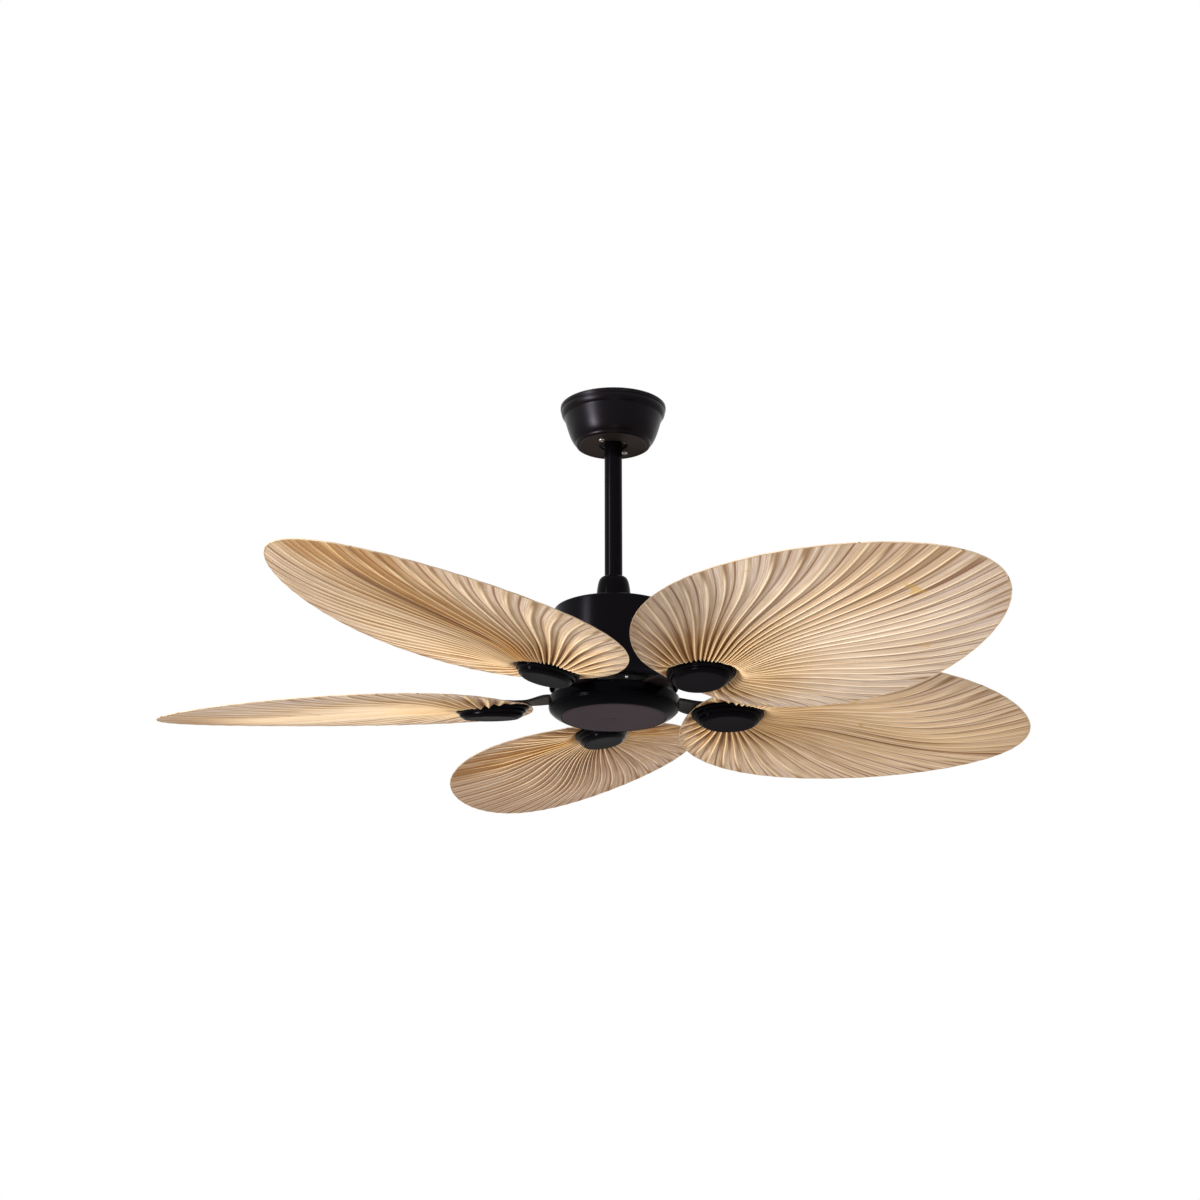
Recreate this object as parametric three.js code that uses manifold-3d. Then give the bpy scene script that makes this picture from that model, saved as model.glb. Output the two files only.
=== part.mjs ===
// A ceiling fan with five pleated palm-leaf blades, hung on a short downrod from a ball mount.
// Millimetres, +Z up. The origin is the middle of the hanger bracket's ceiling face; the fan hangs below it.
// Blades are counted from the front right one, anticlockwise as seen from above.

import * as THREE from "three";
import { mergeVertices } from "three/addons/utils/BufferGeometryUtils.js";
import Module from "manifold-3d";

const wasm = await Module();
wasm.setup();

const { lerp, smoothstep, degToRad: radians } = THREE.MathUtils;

// ---------------------------------------------------------------- driving dimensions

const SEAT = 0.3; // left between two pieces where one rests on, or is fixed to, the other
const RUN = 2.6; // left between what turns and what stands still
const BITE = 0.5; // how far the parts of one solid reach into each other
const CLEAR = 2; // how far a hole's cutter passes the faces that it opens

// ceiling canopy
const CANOPY_RADIUS = 72.2;
const CANOPY_HEIGHT = 57.5;
const CANOPY_FACE_RADIUS = 44.6; // its flat lower face
const CANOPY_HOLE_RADIUS = 19.2; // lets the rod lean
const CANOPY_RIM = 6; // height of the band at the ceiling
const CANOPY_STEP = 2.4; // how far the wall stands in from that band
const CANOPY_WAIST_RADIUS = 60.6;
const CANOPY_WAIST_DROP = 36; // ceiling to the waist
const CANOPY_SHOULDER_RADIUS = 55.8; // where its lower edge starts to turn in
const CANOPY_SHOULDER = 9.7; // height of that turn
const CANOPY_WALL = 1.5;
const CANOPY_OFFSET = 0.5; // ceiling to its upper edge
const CANOPY_LINE = 57; // azimuth of its two screws, in degrees
const CANOPY_SCREW_PITCH = 28.5; // from the axis to each screw
const CANOPY_SCREW_LENGTH = 6.5;

// hanger bracket and ball
const BRACKET_LENGTH = 118;
const BRACKET_WIDTH = 32;
const BRACKET_PLATE = 2.5;
const BRACKET_CORNER = 8;
const SLOT_SPACING = 92; // between the middles of its two ceiling screw slots
const SLOT_LENGTH = 14;
const SLOT_WIDTH = 5.5;
const WIRE_HOLE_RADIUS = 6;
const WIRE_HOLE_SIDE = 19; // from the axis
const CRADLE_RADIUS = 36.5;
const CRADLE_PLATE = 3;
const CRADLE_LIFT = 4; // the canopy's inner face to the cradle
const CRADLE_SEAT = 5; // height of the ball's seat
const CRADLE_COLLAR = 3; // wall round the seat
const CANOPY_BOSS_RADIUS = 4.6; // on the cradle, for the canopy's screws
const BALL_RADIUS = 24;
const BALL_PLAY = 0.7; // left round the ball in its seat, so that the flats of both pass
const BALL_DROP = 33; // ceiling to the centre of the ball
const BALL_CROWN = 12; // centre of the ball to its flat top
const BALL_FOOT_WALL = 3.4; // left round the rod at the ball's flat foot
const KEY_WIDTH = 4;
const KEY_HEIGHT = 6;
const KEY_TOP = 4; // above the centre of the ball
const KEY_DEPTH = 2.5; // how deep its nose stands in the ball's groove
const KEY_POST = 2.6;
const KEY_STAND_OFF = 2.1; // the ball to its post
const TILT = 12; // how far the rod leans each way, in degrees

// downrod, its pins and the cover over its lower end
const ROD_RADIUS = 12;
const ROD_WALL = 2;
const ROD_ROOM = 1.3; // left each side of the rod where it drops into the cradle
const ROD_PROUD = 3; // its top stands this far out of the ball
const PIN_RADIUS = 3;
const PIN_SUNK = 3; // the ball's pin ends this far inside it
const PIN_PROUD = 2; // the yoke's pin stands out this far
const COVER_RADIUS = 24;
const COVER_HEIGHT = 48;
const COVER_WALL = 1.2;

// motor housing and yoke
const HOUSING_DROP = 293.4; // ceiling to the top of the housing
const HOUSING_HEIGHT = 109.6;
const HOUSING_TOP_RADIUS = 80;
const HOUSING_FOOT_RADIUS = 85.4;
const HOUSING_WALL = 2;
const HOUSING_CORNER = 2.5;
const HOUSING_SCREWS = 3;
const YOKE_FLANGE_RADIUS = 34;
const YOKE_FLANGE = 4.3;
const YOKE_WALL = 5.2;
const YOKE_LEG = 12; // height of its hub below the flange
const YOKE_LIP = 10; // its pin to the top of its collar
const YOKE_FLOOR = 4; // what is left under the rod's end
const ROD_CLEAR = 12; // the flange to the rod's end, and the rod's end to the pin
const SHAFT_RADIUS = 8;
const SHAFT_BORE = 5;
const SHAFT_PROUD = 3; // its end stands this far out of the nut
const NUT_HEIGHT = 5.5;
const NUT_WALL = 5.5;

// motor, which fills the housing
const MOTOR_ROOM = 6; // left between its rim and the housing's wall
const MOTOR_CLEAR = 2; // left below the yoke
const MOTOR_WALL = 2.5;
const MOTOR_RIM = 6; // the joint flange stands out this far
const MOTOR_RIM_THICK = 4;
const MOTOR_SHOULDER = 7; // its slanted corners
const MOTOR_END = 3; // thickness of its end walls
const BEARING_RADIUS = 14;
const BEARING_HEIGHT = 8;
const BEARING_SUNK = 1;
const BEARING_BOSS = 3.7; // wall of the boss round the upper one
const RING_THICK = 7.2; // rotor ring
const RING_OVERHANG = 6; // it reaches this far past the stator, above and below
const AIR_GAP = 1;
const STATOR_HEIGHT = 24;
const STATOR_POLES = 6;
const COIL_HEIGHT = 9;

// the gap between the housings, with the flywheel in it, and the lower housing
const GAP = 13;
const FLYWHEEL_BACK = 6.4; // its edge to the upper housing's edge
const FLYWHEEL_THICK = 6.6;
const FLYWHEEL_HUB = 12; // the bearing's edge to its bore
const FLYWHEEL_BOSS = 24; // width of the ring that carries the motor
const FLYWHEEL_LIFT = 6; // height of that ring
const BOWL_PROUD = 0.9; // its edge stands this far outside the upper housing's
const BOWL_HEIGHT = 26.6;
const BOWL_BAND = 13.8; // height of its straight band
const BOWL_BEAD = 3.2; // height of the step below the band
const BOWL_STEP = 1.6; // depth of that step
const BOWL_EDGE = 1.4; // how much its upper edge is rounded
const BOWL_WALL = 1.8;
const BOWL_LEDGE = 3; // carries the support plate, and the cap
const CAP_MARGIN = 17.4; // the lower housing's edge to the cap's
const CAP_THICK = 2;
const CAP_EDGE = 0.8;
const SUPPORT_THICK = 2.5;
const CAPACITOR_LENGTH = 44;
const CAPACITOR_WIDTH = 24;
const CAPACITOR_SIDE = 34; // from the axis
const CAPACITOR_CLEAR = 4; // left above the cap

// blades
const BLADES = 5;
const FIRST_BLADE = -48.2; // azimuth of the first one, in degrees
const BLADE_BELOW = 5; // the blades' centre lines meet the axis this far below the gap
const LEAF_LONG = 546;
const LEAF_WIDE = 176.2; // half its width
const LEAF_BACK = 52.8; // the middle of its cover to its inner end
const LEAF_THICK = 1.2;
const LEAF_WASP = 0.21; // how much wider a leaf is towards its inner end, as a share
const LEAF_DROOP = 5; // its tip hangs this much lower
const LEAF_TWIST = 2; // its tip has this much less pitch, in degrees
const LEAF_SWEEP = -3.6; // its tip lies this much to the side
const PLEATS = 45;
const PLEAT_DEPTH = 4.4; // crest to valley
const PLEAT_FULL = 70; // pleats shorter than this are shallower
const PLEAT_UNEVEN = 0.14; // how far a crest is out of its even place, as a share of a pleat
const PLEAT_VARIETY = 0.2; // how much deeper or shallower a pleat is than the next
const BACK_BOW = 0.04; // how far the pleats behind the heart bow, as a share of their length
const BELLY_START = 12; // a leaf hangs lowest this far from its heart
const BELLY_END = 130; // and is back in its plane this far from it
const LEAF_SETTLE = 60; // droop and twist come in over this distance from the heart
const HEART_MARGIN = 1.5; // the leaf's flat heart reaches this far past the cover
const HEART_LIMIT = 0.97; // and no further than this share of the way to the edge
// Real leaves differ. Each has its own length, half width, pitch, lift, turn about its cover and side step.
const LEAVES = [
  { length: 0.9945 * LEAF_LONG, half: 1.0119 * LEAF_WIDE, pitch: 11.1, lift: 2.3, turn: -1.2, aside: 1.3 },
  { length: 0.9487 * LEAF_LONG, half: 1.046 * LEAF_WIDE, pitch: 9.1, lift: 1.4, turn: 0.5, aside: 0.8 },
  { length: 1.022 * LEAF_LONG, half: 0.9801 * LEAF_WIDE, pitch: 7.8, lift: 1.7, turn: 7.6, aside: 5 },
  { length: 0.9725 * LEAF_LONG, half: 0.9784 * LEAF_WIDE, pitch: 8, lift: 1.7, turn: -1.8, aside: 2.4 },
  { length: 1.0623 * LEAF_LONG, half: 0.9841 * LEAF_WIDE, pitch: 8.2, lift: 1.8, turn: 0.7, aside: -1.9 },
];

// how far each leaf's pleats bow, on its raised and its lowered side, and how low it hangs by its cover
const DRAPES = [
  { bows: [0.045, 0.045], belly: 5 },
  { bows: [0.15, 0.02], belly: 3 },
  { bows: [-0.02, -0.11], belly: 2 },
  { bows: [-0.04, -0.15], belly: 2 },
  { bows: [-0.09, -0.045], belly: 1.5 },
];

// stepped oval cover below each leaf, and the arm above it
const OVAL_REACH = 82.1; // the upper housing's edge to the middle of a cover
const OVAL_LENGTH = 103.6;
const OVAL_WIDTH = 75.4;
const OVAL_DEPTH = 16.5;
const OVAL_FACE = 0.78; // its flat lower face, as a share of its top
const OVAL_WALL = 2.2;
const OVAL_BOSS = 3.6; // wall of its two screw bosses
const ARM_THICK = 3.5;
const ARM_WIDTH = 38;
const ARM_ROOT_WIDTH = 30;
const ARM_EDGE = 0.8; // bevel of its lower edges
const ARM_TIP = 4; // half the width of its blunt outer end
const ARM_LEVEL = 2; // it stays level as far as this outside the upper housing's edge
const ARM_LAP = 23; // the flywheel's edge to the arm's inner end
const ARM_POCKET = 2; // how deep an arm's root sits in the flywheel
const ARM_SCREW_LAP = 11; // the flywheel's edge to the arm's screw
const PLATE_WIDTH = 58;
const PLATE_LENGTH = 96;
const LEAF_SCREW_SPACING = 52;
const LEAF_SCREW_REACH = 8; // how deep it stands in the cover
const ROOT_SCREW_REACH = 2.6; // how deep it stands in the flywheel
const SCREW_RADIUS = 2;
const ROOT_SCREW_RADIUS = 2.5;
const HEAD_HEIGHT = 2.2;
const HEAD_SHARE = 2.1; // a screw's head to its shank

// ---------------------------------------------------------------- sizes worked out from them

const BOWL_RADIUS = HOUSING_FOOT_RADIUS + BOWL_PROUD;
const BOWL_INNER = BOWL_RADIUS - BOWL_WALL;
const CAP_RADIUS = BOWL_RADIUS - CAP_MARGIN;
const FLYWHEEL_RADIUS = HOUSING_FOOT_RADIUS - FLYWHEEL_BACK;
const MOTOR_RADIUS = HOUSING_TOP_RADIUS - HOUSING_WALL - MOTOR_ROOM - MOTOR_RIM;
const STATOR_RADIUS = MOTOR_RADIUS - MOTOR_WALL - SEAT - RING_THICK - AIR_GAP;
const ARM_ROOT = FLYWHEEL_RADIUS - ARM_LAP;
const ARM_SCREW = FLYWHEEL_RADIUS - ARM_SCREW_LAP;
const OVAL_CENTRE = HOUSING_FOOT_RADIUS + OVAL_REACH;
const LEAF_START = OVAL_CENTRE - LEAF_BACK;
const PLATE_START = OVAL_CENTRE - PLATE_LENGTH / 2;
const HOLE_RADIUS = SCREW_RADIUS + SEAT;
const ROOT_HOLE_RADIUS = ROOT_SCREW_RADIUS + SEAT;
const PIN_HOLE_RADIUS = PIN_RADIUS + SEAT;
const ROD_BORE = ROD_RADIUS + SEAT; // of what the rod passes through
const SHAFT_HOLE = SHAFT_RADIUS + SEAT;

const CANOPY_TOP = -CANOPY_OFFSET;
const CANOPY_BOTTOM = CANOPY_TOP - CANOPY_HEIGHT;
const CANOPY_FLOOR = CANOPY_BOTTOM + CANOPY_WALL + SEAT;
const CRADLE_BOTTOM = CANOPY_BOTTOM + CANOPY_WALL + CRADLE_LIFT;
const CRADLE_TOP = CRADLE_BOTTOM + CRADLE_PLATE;
const BALL_Z = -BALL_DROP;
const HOUSING_TOP = -HOUSING_DROP;
const HOUSING_FOOT = HOUSING_TOP - HOUSING_HEIGHT;
const FLANGE_TOP = HOUSING_TOP - HOUSING_WALL - SEAT;
const FLANGE_BOTTOM = FLANGE_TOP - YOKE_FLANGE;
const YOKE_BOTTOM = FLANGE_BOTTOM - YOKE_LEG;
const ROD_BOTTOM = FLANGE_TOP + ROD_CLEAR;
const YOKE_PIN_Z = ROD_BOTTOM + ROD_CLEAR;
const YOKE_TOP = YOKE_PIN_Z + YOKE_LIP;
const BOWL_TOP = HOUSING_FOOT - GAP;
const BOWL_BOTTOM = BOWL_TOP - BOWL_HEIGHT;
const CAP_TOP = BOWL_BOTTOM + CAP_THICK;
const ARM_Z = BOWL_TOP + RUN + ARM_THICK / 2; // mid height of an arm's root
const ARM_BOTTOM = ARM_Z - ARM_THICK / 2;
const POCKET_ROOF = ARM_Z + ARM_THICK / 2 + SEAT;
const FLYWHEEL_BOTTOM = POCKET_ROOF - ARM_POCKET;
const FLYWHEEL_TOP = FLYWHEEL_BOTTOM + FLYWHEEL_THICK;
const SUPPORT_TOP = ARM_BOTTOM - SEAT - HEAD_HEIGHT - RUN;
const SUPPORT_BOTTOM = SUPPORT_TOP - SUPPORT_THICK;
const MOTOR_TOP = YOKE_BOTTOM - MOTOR_CLEAR;
const MOTOR_BOTTOM = FLYWHEEL_TOP + FLYWHEEL_LIFT;
const MOTOR_MIDDLE = (MOTOR_TOP + MOTOR_BOTTOM) / 2;
const BLADE_Z = BOWL_TOP - BLADE_BELOW;
const PLATE_H = LEAF_THICK / 2 + SEAT + ARM_THICK / 2; // mid height of an arm's plate above its leaf

// ---------------------------------------------------------------- how finely round pieces are faceted

const ROUND_LARGE = 28; // canopy, housings and flywheel
const ROUND_MEDIUM = 20; // motor parts, ball and cover
const ROUND_SMALL = 16; // rod, yoke and shaft
const ROUND_PIN = 8;
const ROUND_SCREW = 6;
const ROUND_OVAL = 18; // the leaf covers
const BALL_ROWS = 6;
const ARM_TURN_ROWS = 2; // between an arm's level root and its plate
const PLATE_ROWS = 7;

// ---------------------------------------------------------------- finishes

const finish = (color, roughness, metalness) =>
  new THREE.MeshStandardMaterial({ color, roughness, metalness });
const blackMetal = finish(0x1b191b, 0.45, 0.6);
const satinCap = finish(0x423a3d, 0.5, 0.4);
const steel = finish(0x9a9a9c, 0.35, 0.9);
const castMetal = finish(0x8d8f92, 0.55, 0.7);
const copper = finish(0xa5602e, 0.4, 0.8);
const laminations = finish(0x55585c, 0.5, 0.7);
const plastic = finish(0x202123, 0.6, 0);
const palm = finish(0xcda983, 0.85, 0);

// ---------------------------------------------------------------- shaping

// A geometry as a solid that can be joined and cut. Faces that fold to a line are left out.
function solid(geometry) {
  const bare = geometry.clone();
  bare.deleteAttribute("normal");
  bare.deleteAttribute("uv");
  const merged = mergeVertices(bare, 1e-4);
  const index = merged.index.array;
  const kept = [];
  for (let i = 0; i < index.length; i += 3) {
    const [a, b, c] = [index[i], index[i + 1], index[i + 2]];
    if (a !== b && b !== c && c !== a) kept.push(a, b, c);
  }
  return new wasm.Manifold(
    new wasm.Mesh({
      numProp: 3,
      vertProperties: merged.attributes.position.array,
      triVerts: new Uint32Array(kept),
    }),
  );
}

// A mesh's geometry from its points, as a flat list of coordinates, and its triangles.
function surface(coordinates, triangles) {
  const geometry = new THREE.BufferGeometry();
  geometry.setAttribute("position", new THREE.Float32BufferAttribute(coordinates, 3));
  geometry.setIndex(new THREE.BufferAttribute(new Uint32Array(triangles), 1));
  return geometry;
}

function geometryOf(made) {
  const { vertProperties, triVerts } = made.getMesh();
  return surface(vertProperties, triVerts);
}

const joined = (pieces) => geometryOf(pieces.map(solid).reduce((a, b) => a.add(b)));
const cut = (body, tools) =>
  geometryOf(tools.map(solid).reduce((left, tool) => left.subtract(tool), solid(body)));
const onBothSides = (make) => [-1, 1].map(make);

// Turns a closed outline of [radius, height] points about Z, whichever way round it is listed.
function revolve(outline, sides) {
  const points = outline.map(([r, z]) => new THREE.Vector2(r, z));
  if (THREE.ShapeUtils.isClockWise(points)) points.reverse();
  points.push(points[0].clone());
  return new THREE.LatheGeometry(points, sides).rotateX(Math.PI / 2);
}

// A ring of square section, or a disc where its inner radius is 0.
function ring(inner, outer, bottom, top, sides) {
  return revolve(
    [
      [inner, bottom],
      [outer, bottom],
      [outer, top],
      [inner, top],
    ],
    sides,
  );
}

// The outline of a sheet wall: an open profile and the same profile moved in by the wall's thickness.
function sheetWall(profile, wall) {
  const normal = ([r0, z0], [r1, z1]) => new THREE.Vector2(z1 - z0, r0 - r1).normalize();
  const last = profile.length - 1;
  const inner = profile.map((point, i) => {
    const before = normal(profile[Math.max(i - 1, 0)], profile[Math.max(i, 1)]);
    const after = normal(profile[Math.min(i, last - 1)], profile[Math.min(i + 1, last)]);
    const mitre = before.clone().add(after).normalize();
    const reach = wall / mitre.dot(before);
    return [point[0] + mitre.x * reach, point[1] + mitre.y * reach];
  });
  return [...profile, ...inner.reverse()];
}

// A straight round bar along X, Y or Z, centred at a point.
function bar(radius, length, [x, y, z], along = "z", sides = ROUND_PIN) {
  const geometry = new THREE.CylinderGeometry(radius, radius, length, sides);
  if (along === "z") geometry.rotateX(Math.PI / 2);
  if (along === "x") geometry.rotateZ(Math.PI / 2);
  return geometry.translate(x, y, z);
}

// The cutter of a screw's hole, centred at a point.
const screwHole = (radius, depth, point) => bar(radius, 2 * depth, point, "z", ROUND_SCREW);

function extruded(shape, depth, segments = 3) {
  return new THREE.ExtrudeGeometry(shape, { depth, bevelEnabled: false, curveSegments: segments });
}

// A flat slab with round corners, in the XY plane, from height z upwards.
function slab(length, width, thick, z, corner) {
  const shape = new THREE.Shape();
  const [x, y] = [length / 2 - corner, width / 2 - corner];
  shape.absarc(x, y, corner, 0, Math.PI / 2);
  shape.absarc(-x, y, corner, Math.PI / 2, Math.PI);
  shape.absarc(-x, -y, corner, Math.PI, 1.5 * Math.PI);
  shape.absarc(x, -y, corner, 1.5 * Math.PI, 2 * Math.PI);
  return extruded(shape, thick).translate(0, 0, z);
}

function box(length, width, height, x, y, z) {
  return new THREE.BoxGeometry(length, width, height).translate(x, y, z);
}

// A pan-head screw: its seat is at height 0, its head points up and its shank down.
function screwGeometry(radius, length) {
  const head = radius * HEAD_SHARE;
  const points = [
    [0, -length],
    [radius, -length],
    [radius, 0],
    [head, 0],
    [head * 0.88, HEAD_HEIGHT * 0.7],
    [0, HEAD_HEIGHT],
  ].map(([r, z]) => new THREE.Vector2(r, z));
  return new THREE.LatheGeometry(points, ROUND_SCREW).rotateX(Math.PI / 2);
}

function piece(name, geometry, material) {
  const mesh = new THREE.Mesh(geometry, material);
  mesh.name = name;
  return mesh;
}

// A screw in its place. One that points up has its head below.
function screw(name, radius, length, [x, y, z], pointsUp) {
  const mesh = piece(name, screwGeometry(radius, length), steel);
  if (pointsUp) mesh.rotation.x = Math.PI;
  mesh.position.set(x, y, z);
  return mesh;
}

// Skins a run of rings, each the same count of points in the same order, and closes both ends.
function loft(rings) {
  const count = rings[0].length;
  const index = [];
  for (let row = 0; row + 1 < rings.length; row++) {
    for (let i = 0; i < count; i++) {
      const [a, b] = [row * count + i, row * count + ((i + 1) % count)];
      index.push(a, b, b + count, a, b + count, a + count);
    }
  }
  const far = (rings.length - 1) * count;
  for (let i = 1; i + 1 < count; i++) {
    index.push(0, i + 1, i);
    index.push(far, far + i, far + i + 1);
  }
  return surface(
    rings.flat().flatMap((p) => p.toArray()),
    index,
  );
}

// ---------------------------------------------------------------- ceiling mount

// A sheet bracket: a ceiling plate, two legs, and a cradle whose round seat carries the ball.
// The cradle opens to one side so that the ball drops in with the rod below it.
function hangerBracket() {
  const seatRadius = BALL_RADIUS + BALL_PLAY;
  const seatAt = (below) => Math.sqrt(seatRadius ** 2 - below ** 2);
  const seatLow = BALL_Z - CRADLE_TOP + BITE;
  const seatHigh = seatLow - CRADLE_SEAT;
  const collar = seatAt(seatHigh) + CRADLE_COLLAR;
  const cradle = revolve(
    [
      [seatAt(seatLow), CRADLE_BOTTOM],
      [CRADLE_RADIUS, CRADLE_BOTTOM],
      [CRADLE_RADIUS, CRADLE_TOP],
      [collar, CRADLE_TOP],
      [collar, BALL_Z - seatHigh],
      [seatAt(seatHigh), BALL_Z - seatHigh],
      [seatAt(seatLow), BALL_Z - seatLow],
    ],
    ROUND_MEDIUM,
  );
  const ceilingPlate = slab(BRACKET_LENGTH, BRACKET_WIDTH, BRACKET_PLATE, -BRACKET_PLATE, BRACKET_CORNER);
  const legWidth = BRACKET_WIDTH - CLEAR;
  const legHeight = -CRADLE_BOTTOM - BRACKET_PLATE + BITE;
  const legs = onBothSides((side) => {
    const x = side * (CRADLE_RADIUS - BRACKET_PLATE);
    return box(BRACKET_PLATE, legWidth, legHeight, x, 0, CRADLE_BOTTOM + legHeight / 2);
  });
  const bossHeight = CRADLE_BOTTOM + BITE - CANOPY_FLOOR;
  const bosses = onBothSides((side) =>
    bar(CANOPY_BOSS_RADIUS, bossHeight, [side * CANOPY_SCREW_PITCH, 0, CANOPY_FLOOR + bossHeight / 2]),
  );
  const body = cut(joined([cradle, ceilingPlate, ...legs, ...bosses]), bracketOpenings());
  body.rotateZ(radians(CANOPY_LINE));
  return piece("hanger_bracket", joined([body, ...ballKey()]), steel);
}

// The way in for the rod, the wire hole, the ceiling screw slots and the canopy screws' holes.
function bracketOpenings() {
  const rodSlot = box(
    2 * (ROD_RADIUS + ROD_ROOM),
    2 * CRADLE_RADIUS,
    2 * BALL_RADIUS,
    0,
    CRADLE_RADIUS,
    CRADLE_BOTTOM,
  );
  const wireHole = bar(WIRE_HOLE_RADIUS, 2 * (BRACKET_PLATE + CLEAR), [WIRE_HOLE_SIDE, 0, 0]);
  const slotCorner = SLOT_WIDTH * 0.45;
  const slots = onBothSides((side) =>
    slab(SLOT_LENGTH, SLOT_WIDTH, BRACKET_PLATE + 2 * CLEAR, -BRACKET_PLATE - CLEAR, slotCorner).translate(
      (side * SLOT_SPACING) / 2,
      0,
      0,
    ),
  );
  const holes = onBothSides((side) =>
    bar(HOLE_RADIUS, 2 * (CRADLE_PLATE + CRADLE_LIFT), [side * CANOPY_SCREW_PITCH, 0, CRADLE_BOTTOM]),
  );
  return [rodSlot, wireHole, ...slots, ...holes];
}

// The key on the tilt axis: its nose stands in the ball's groove and stops the ball from turning.
function ballKey() {
  const post = BALL_RADIUS + KEY_STAND_OFF + KEY_POST / 2;
  const top = BALL_Z + KEY_TOP;
  const foot = CRADLE_TOP - BITE;
  const noseStart = BALL_RADIUS - KEY_DEPTH;
  return [
    box(KEY_POST, KEY_WIDTH, top - foot, post, 0, (top + foot) / 2),
    box(post - noseStart, KEY_WIDTH, KEY_HEIGHT, (post + noseStart) / 2, 0, top - KEY_HEIGHT / 2),
  ];
}

function canopy() {
  const outer = [
    [CANOPY_RADIUS, CANOPY_TOP],
    [CANOPY_RADIUS, CANOPY_TOP - CANOPY_RIM],
    [CANOPY_RADIUS - CANOPY_STEP, CANOPY_TOP - CANOPY_RIM - CANOPY_STEP],
    [CANOPY_WAIST_RADIUS, -CANOPY_WAIST_DROP],
    [CANOPY_SHOULDER_RADIUS, CANOPY_BOTTOM + CANOPY_SHOULDER],
    [CANOPY_FACE_RADIUS, CANOPY_BOTTOM],
    [CANOPY_HOLE_RADIUS, CANOPY_BOTTOM],
  ];
  const shell = revolve(sheetWall(outer, CANOPY_WALL), ROUND_LARGE);
  const holes = canopyScrewPlaces().map(([x, y]) =>
    bar(HOLE_RADIUS, 2 * (CANOPY_WALL + CLEAR), [x, y, CANOPY_BOTTOM]),
  );
  return piece("canopy", cut(shell, holes), blackMetal);
}

const canopyScrewPlaces = () =>
  [CANOPY_LINE + 180, CANOPY_LINE].map((azimuth) => [
    CANOPY_SCREW_PITCH * Math.cos(radians(azimuth)),
    CANOPY_SCREW_PITCH * Math.sin(radians(azimuth)),
  ]);

function canopyScrews() {
  return canopyScrewPlaces().map(([x, y], i) =>
    screw("canopy_screw_" + (i + 1), SCREW_RADIUS, CANOPY_SCREW_LENGTH, [x, y, CANOPY_BOTTOM - SEAT], true),
  );
}

// ---------------------------------------------------------------- what hangs from the ball

// The ball's groove leaves room for the key's corners at full tilt.
function hangerBall() {
  const crown = Math.asin(BALL_CROWN / BALL_RADIUS);
  const foot = -Math.acos((ROD_RADIUS + BALL_FOOT_WALL) / BALL_RADIUS);
  const outline = [];
  for (let i = 0; i <= BALL_ROWS; i++) {
    const latitude = lerp(foot, crown, i / BALL_ROWS);
    outline.push([BALL_RADIUS * Math.cos(latitude), BALL_Z + BALL_RADIUS * Math.sin(latitude)]);
  }
  outline.push([ROD_BORE, BALL_Z + BALL_CROWN]);
  outline.push([ROD_BORE, BALL_Z + BALL_RADIUS * Math.sin(foot)]);
  const lean = radians(TILT);
  const grooveWidth = KEY_WIDTH * Math.cos(lean) + 2 * KEY_TOP * Math.sin(lean) + 2 * SEAT;
  const grooveDepth = KEY_DEPTH + CLEAR;
  const groove = box(2 * grooveDepth, grooveWidth, 3 * BALL_RADIUS, BALL_RADIUS, 0, BALL_Z);
  const pinHole = bar(PIN_HOLE_RADIUS, 3 * BALL_RADIUS, [0, 0, BALL_Z], "y");
  return piece("hanger_ball", cut(revolve(outline, ROUND_MEDIUM), [groove, pinHole]), plastic);
}

function ballPin() {
  const length = 2 * (BALL_RADIUS - PIN_SUNK);
  return piece("ball_pin", bar(PIN_RADIUS, length, [0, 0, BALL_Z], "y"), steel);
}

function downrod() {
  const top = BALL_Z + BALL_CROWN + ROD_PROUD;
  const tube = ring(ROD_RADIUS - ROD_WALL, ROD_RADIUS, ROD_BOTTOM, top, ROUND_SMALL);
  const through = 2 * (ROD_RADIUS + CLEAR);
  const holes = [
    bar(PIN_HOLE_RADIUS, through, [0, 0, BALL_Z], "y"),
    bar(PIN_HOLE_RADIUS, through, [0, 0, YOKE_PIN_Z], "x"),
  ];
  return piece("downrod", cut(tube, holes), blackMetal);
}

// A drawn dome that slides on the rod and rests on the housing.
function couplingCover() {
  const foot = HOUSING_TOP + SEAT;
  const neck = ROD_BORE + COVER_WALL;
  const at = (width, height) => [lerp(neck, COVER_RADIUS, width), foot + COVER_HEIGHT * height];
  const outer = [at(1, 0), at(0.92, 0.4), at(0.76, 0.7), at(0.45, 0.91), at(0, 1)];
  return piece("coupling_cover", revolve(sheetWall(outer, -COVER_WALL), ROUND_MEDIUM), blackMetal);
}

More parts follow.
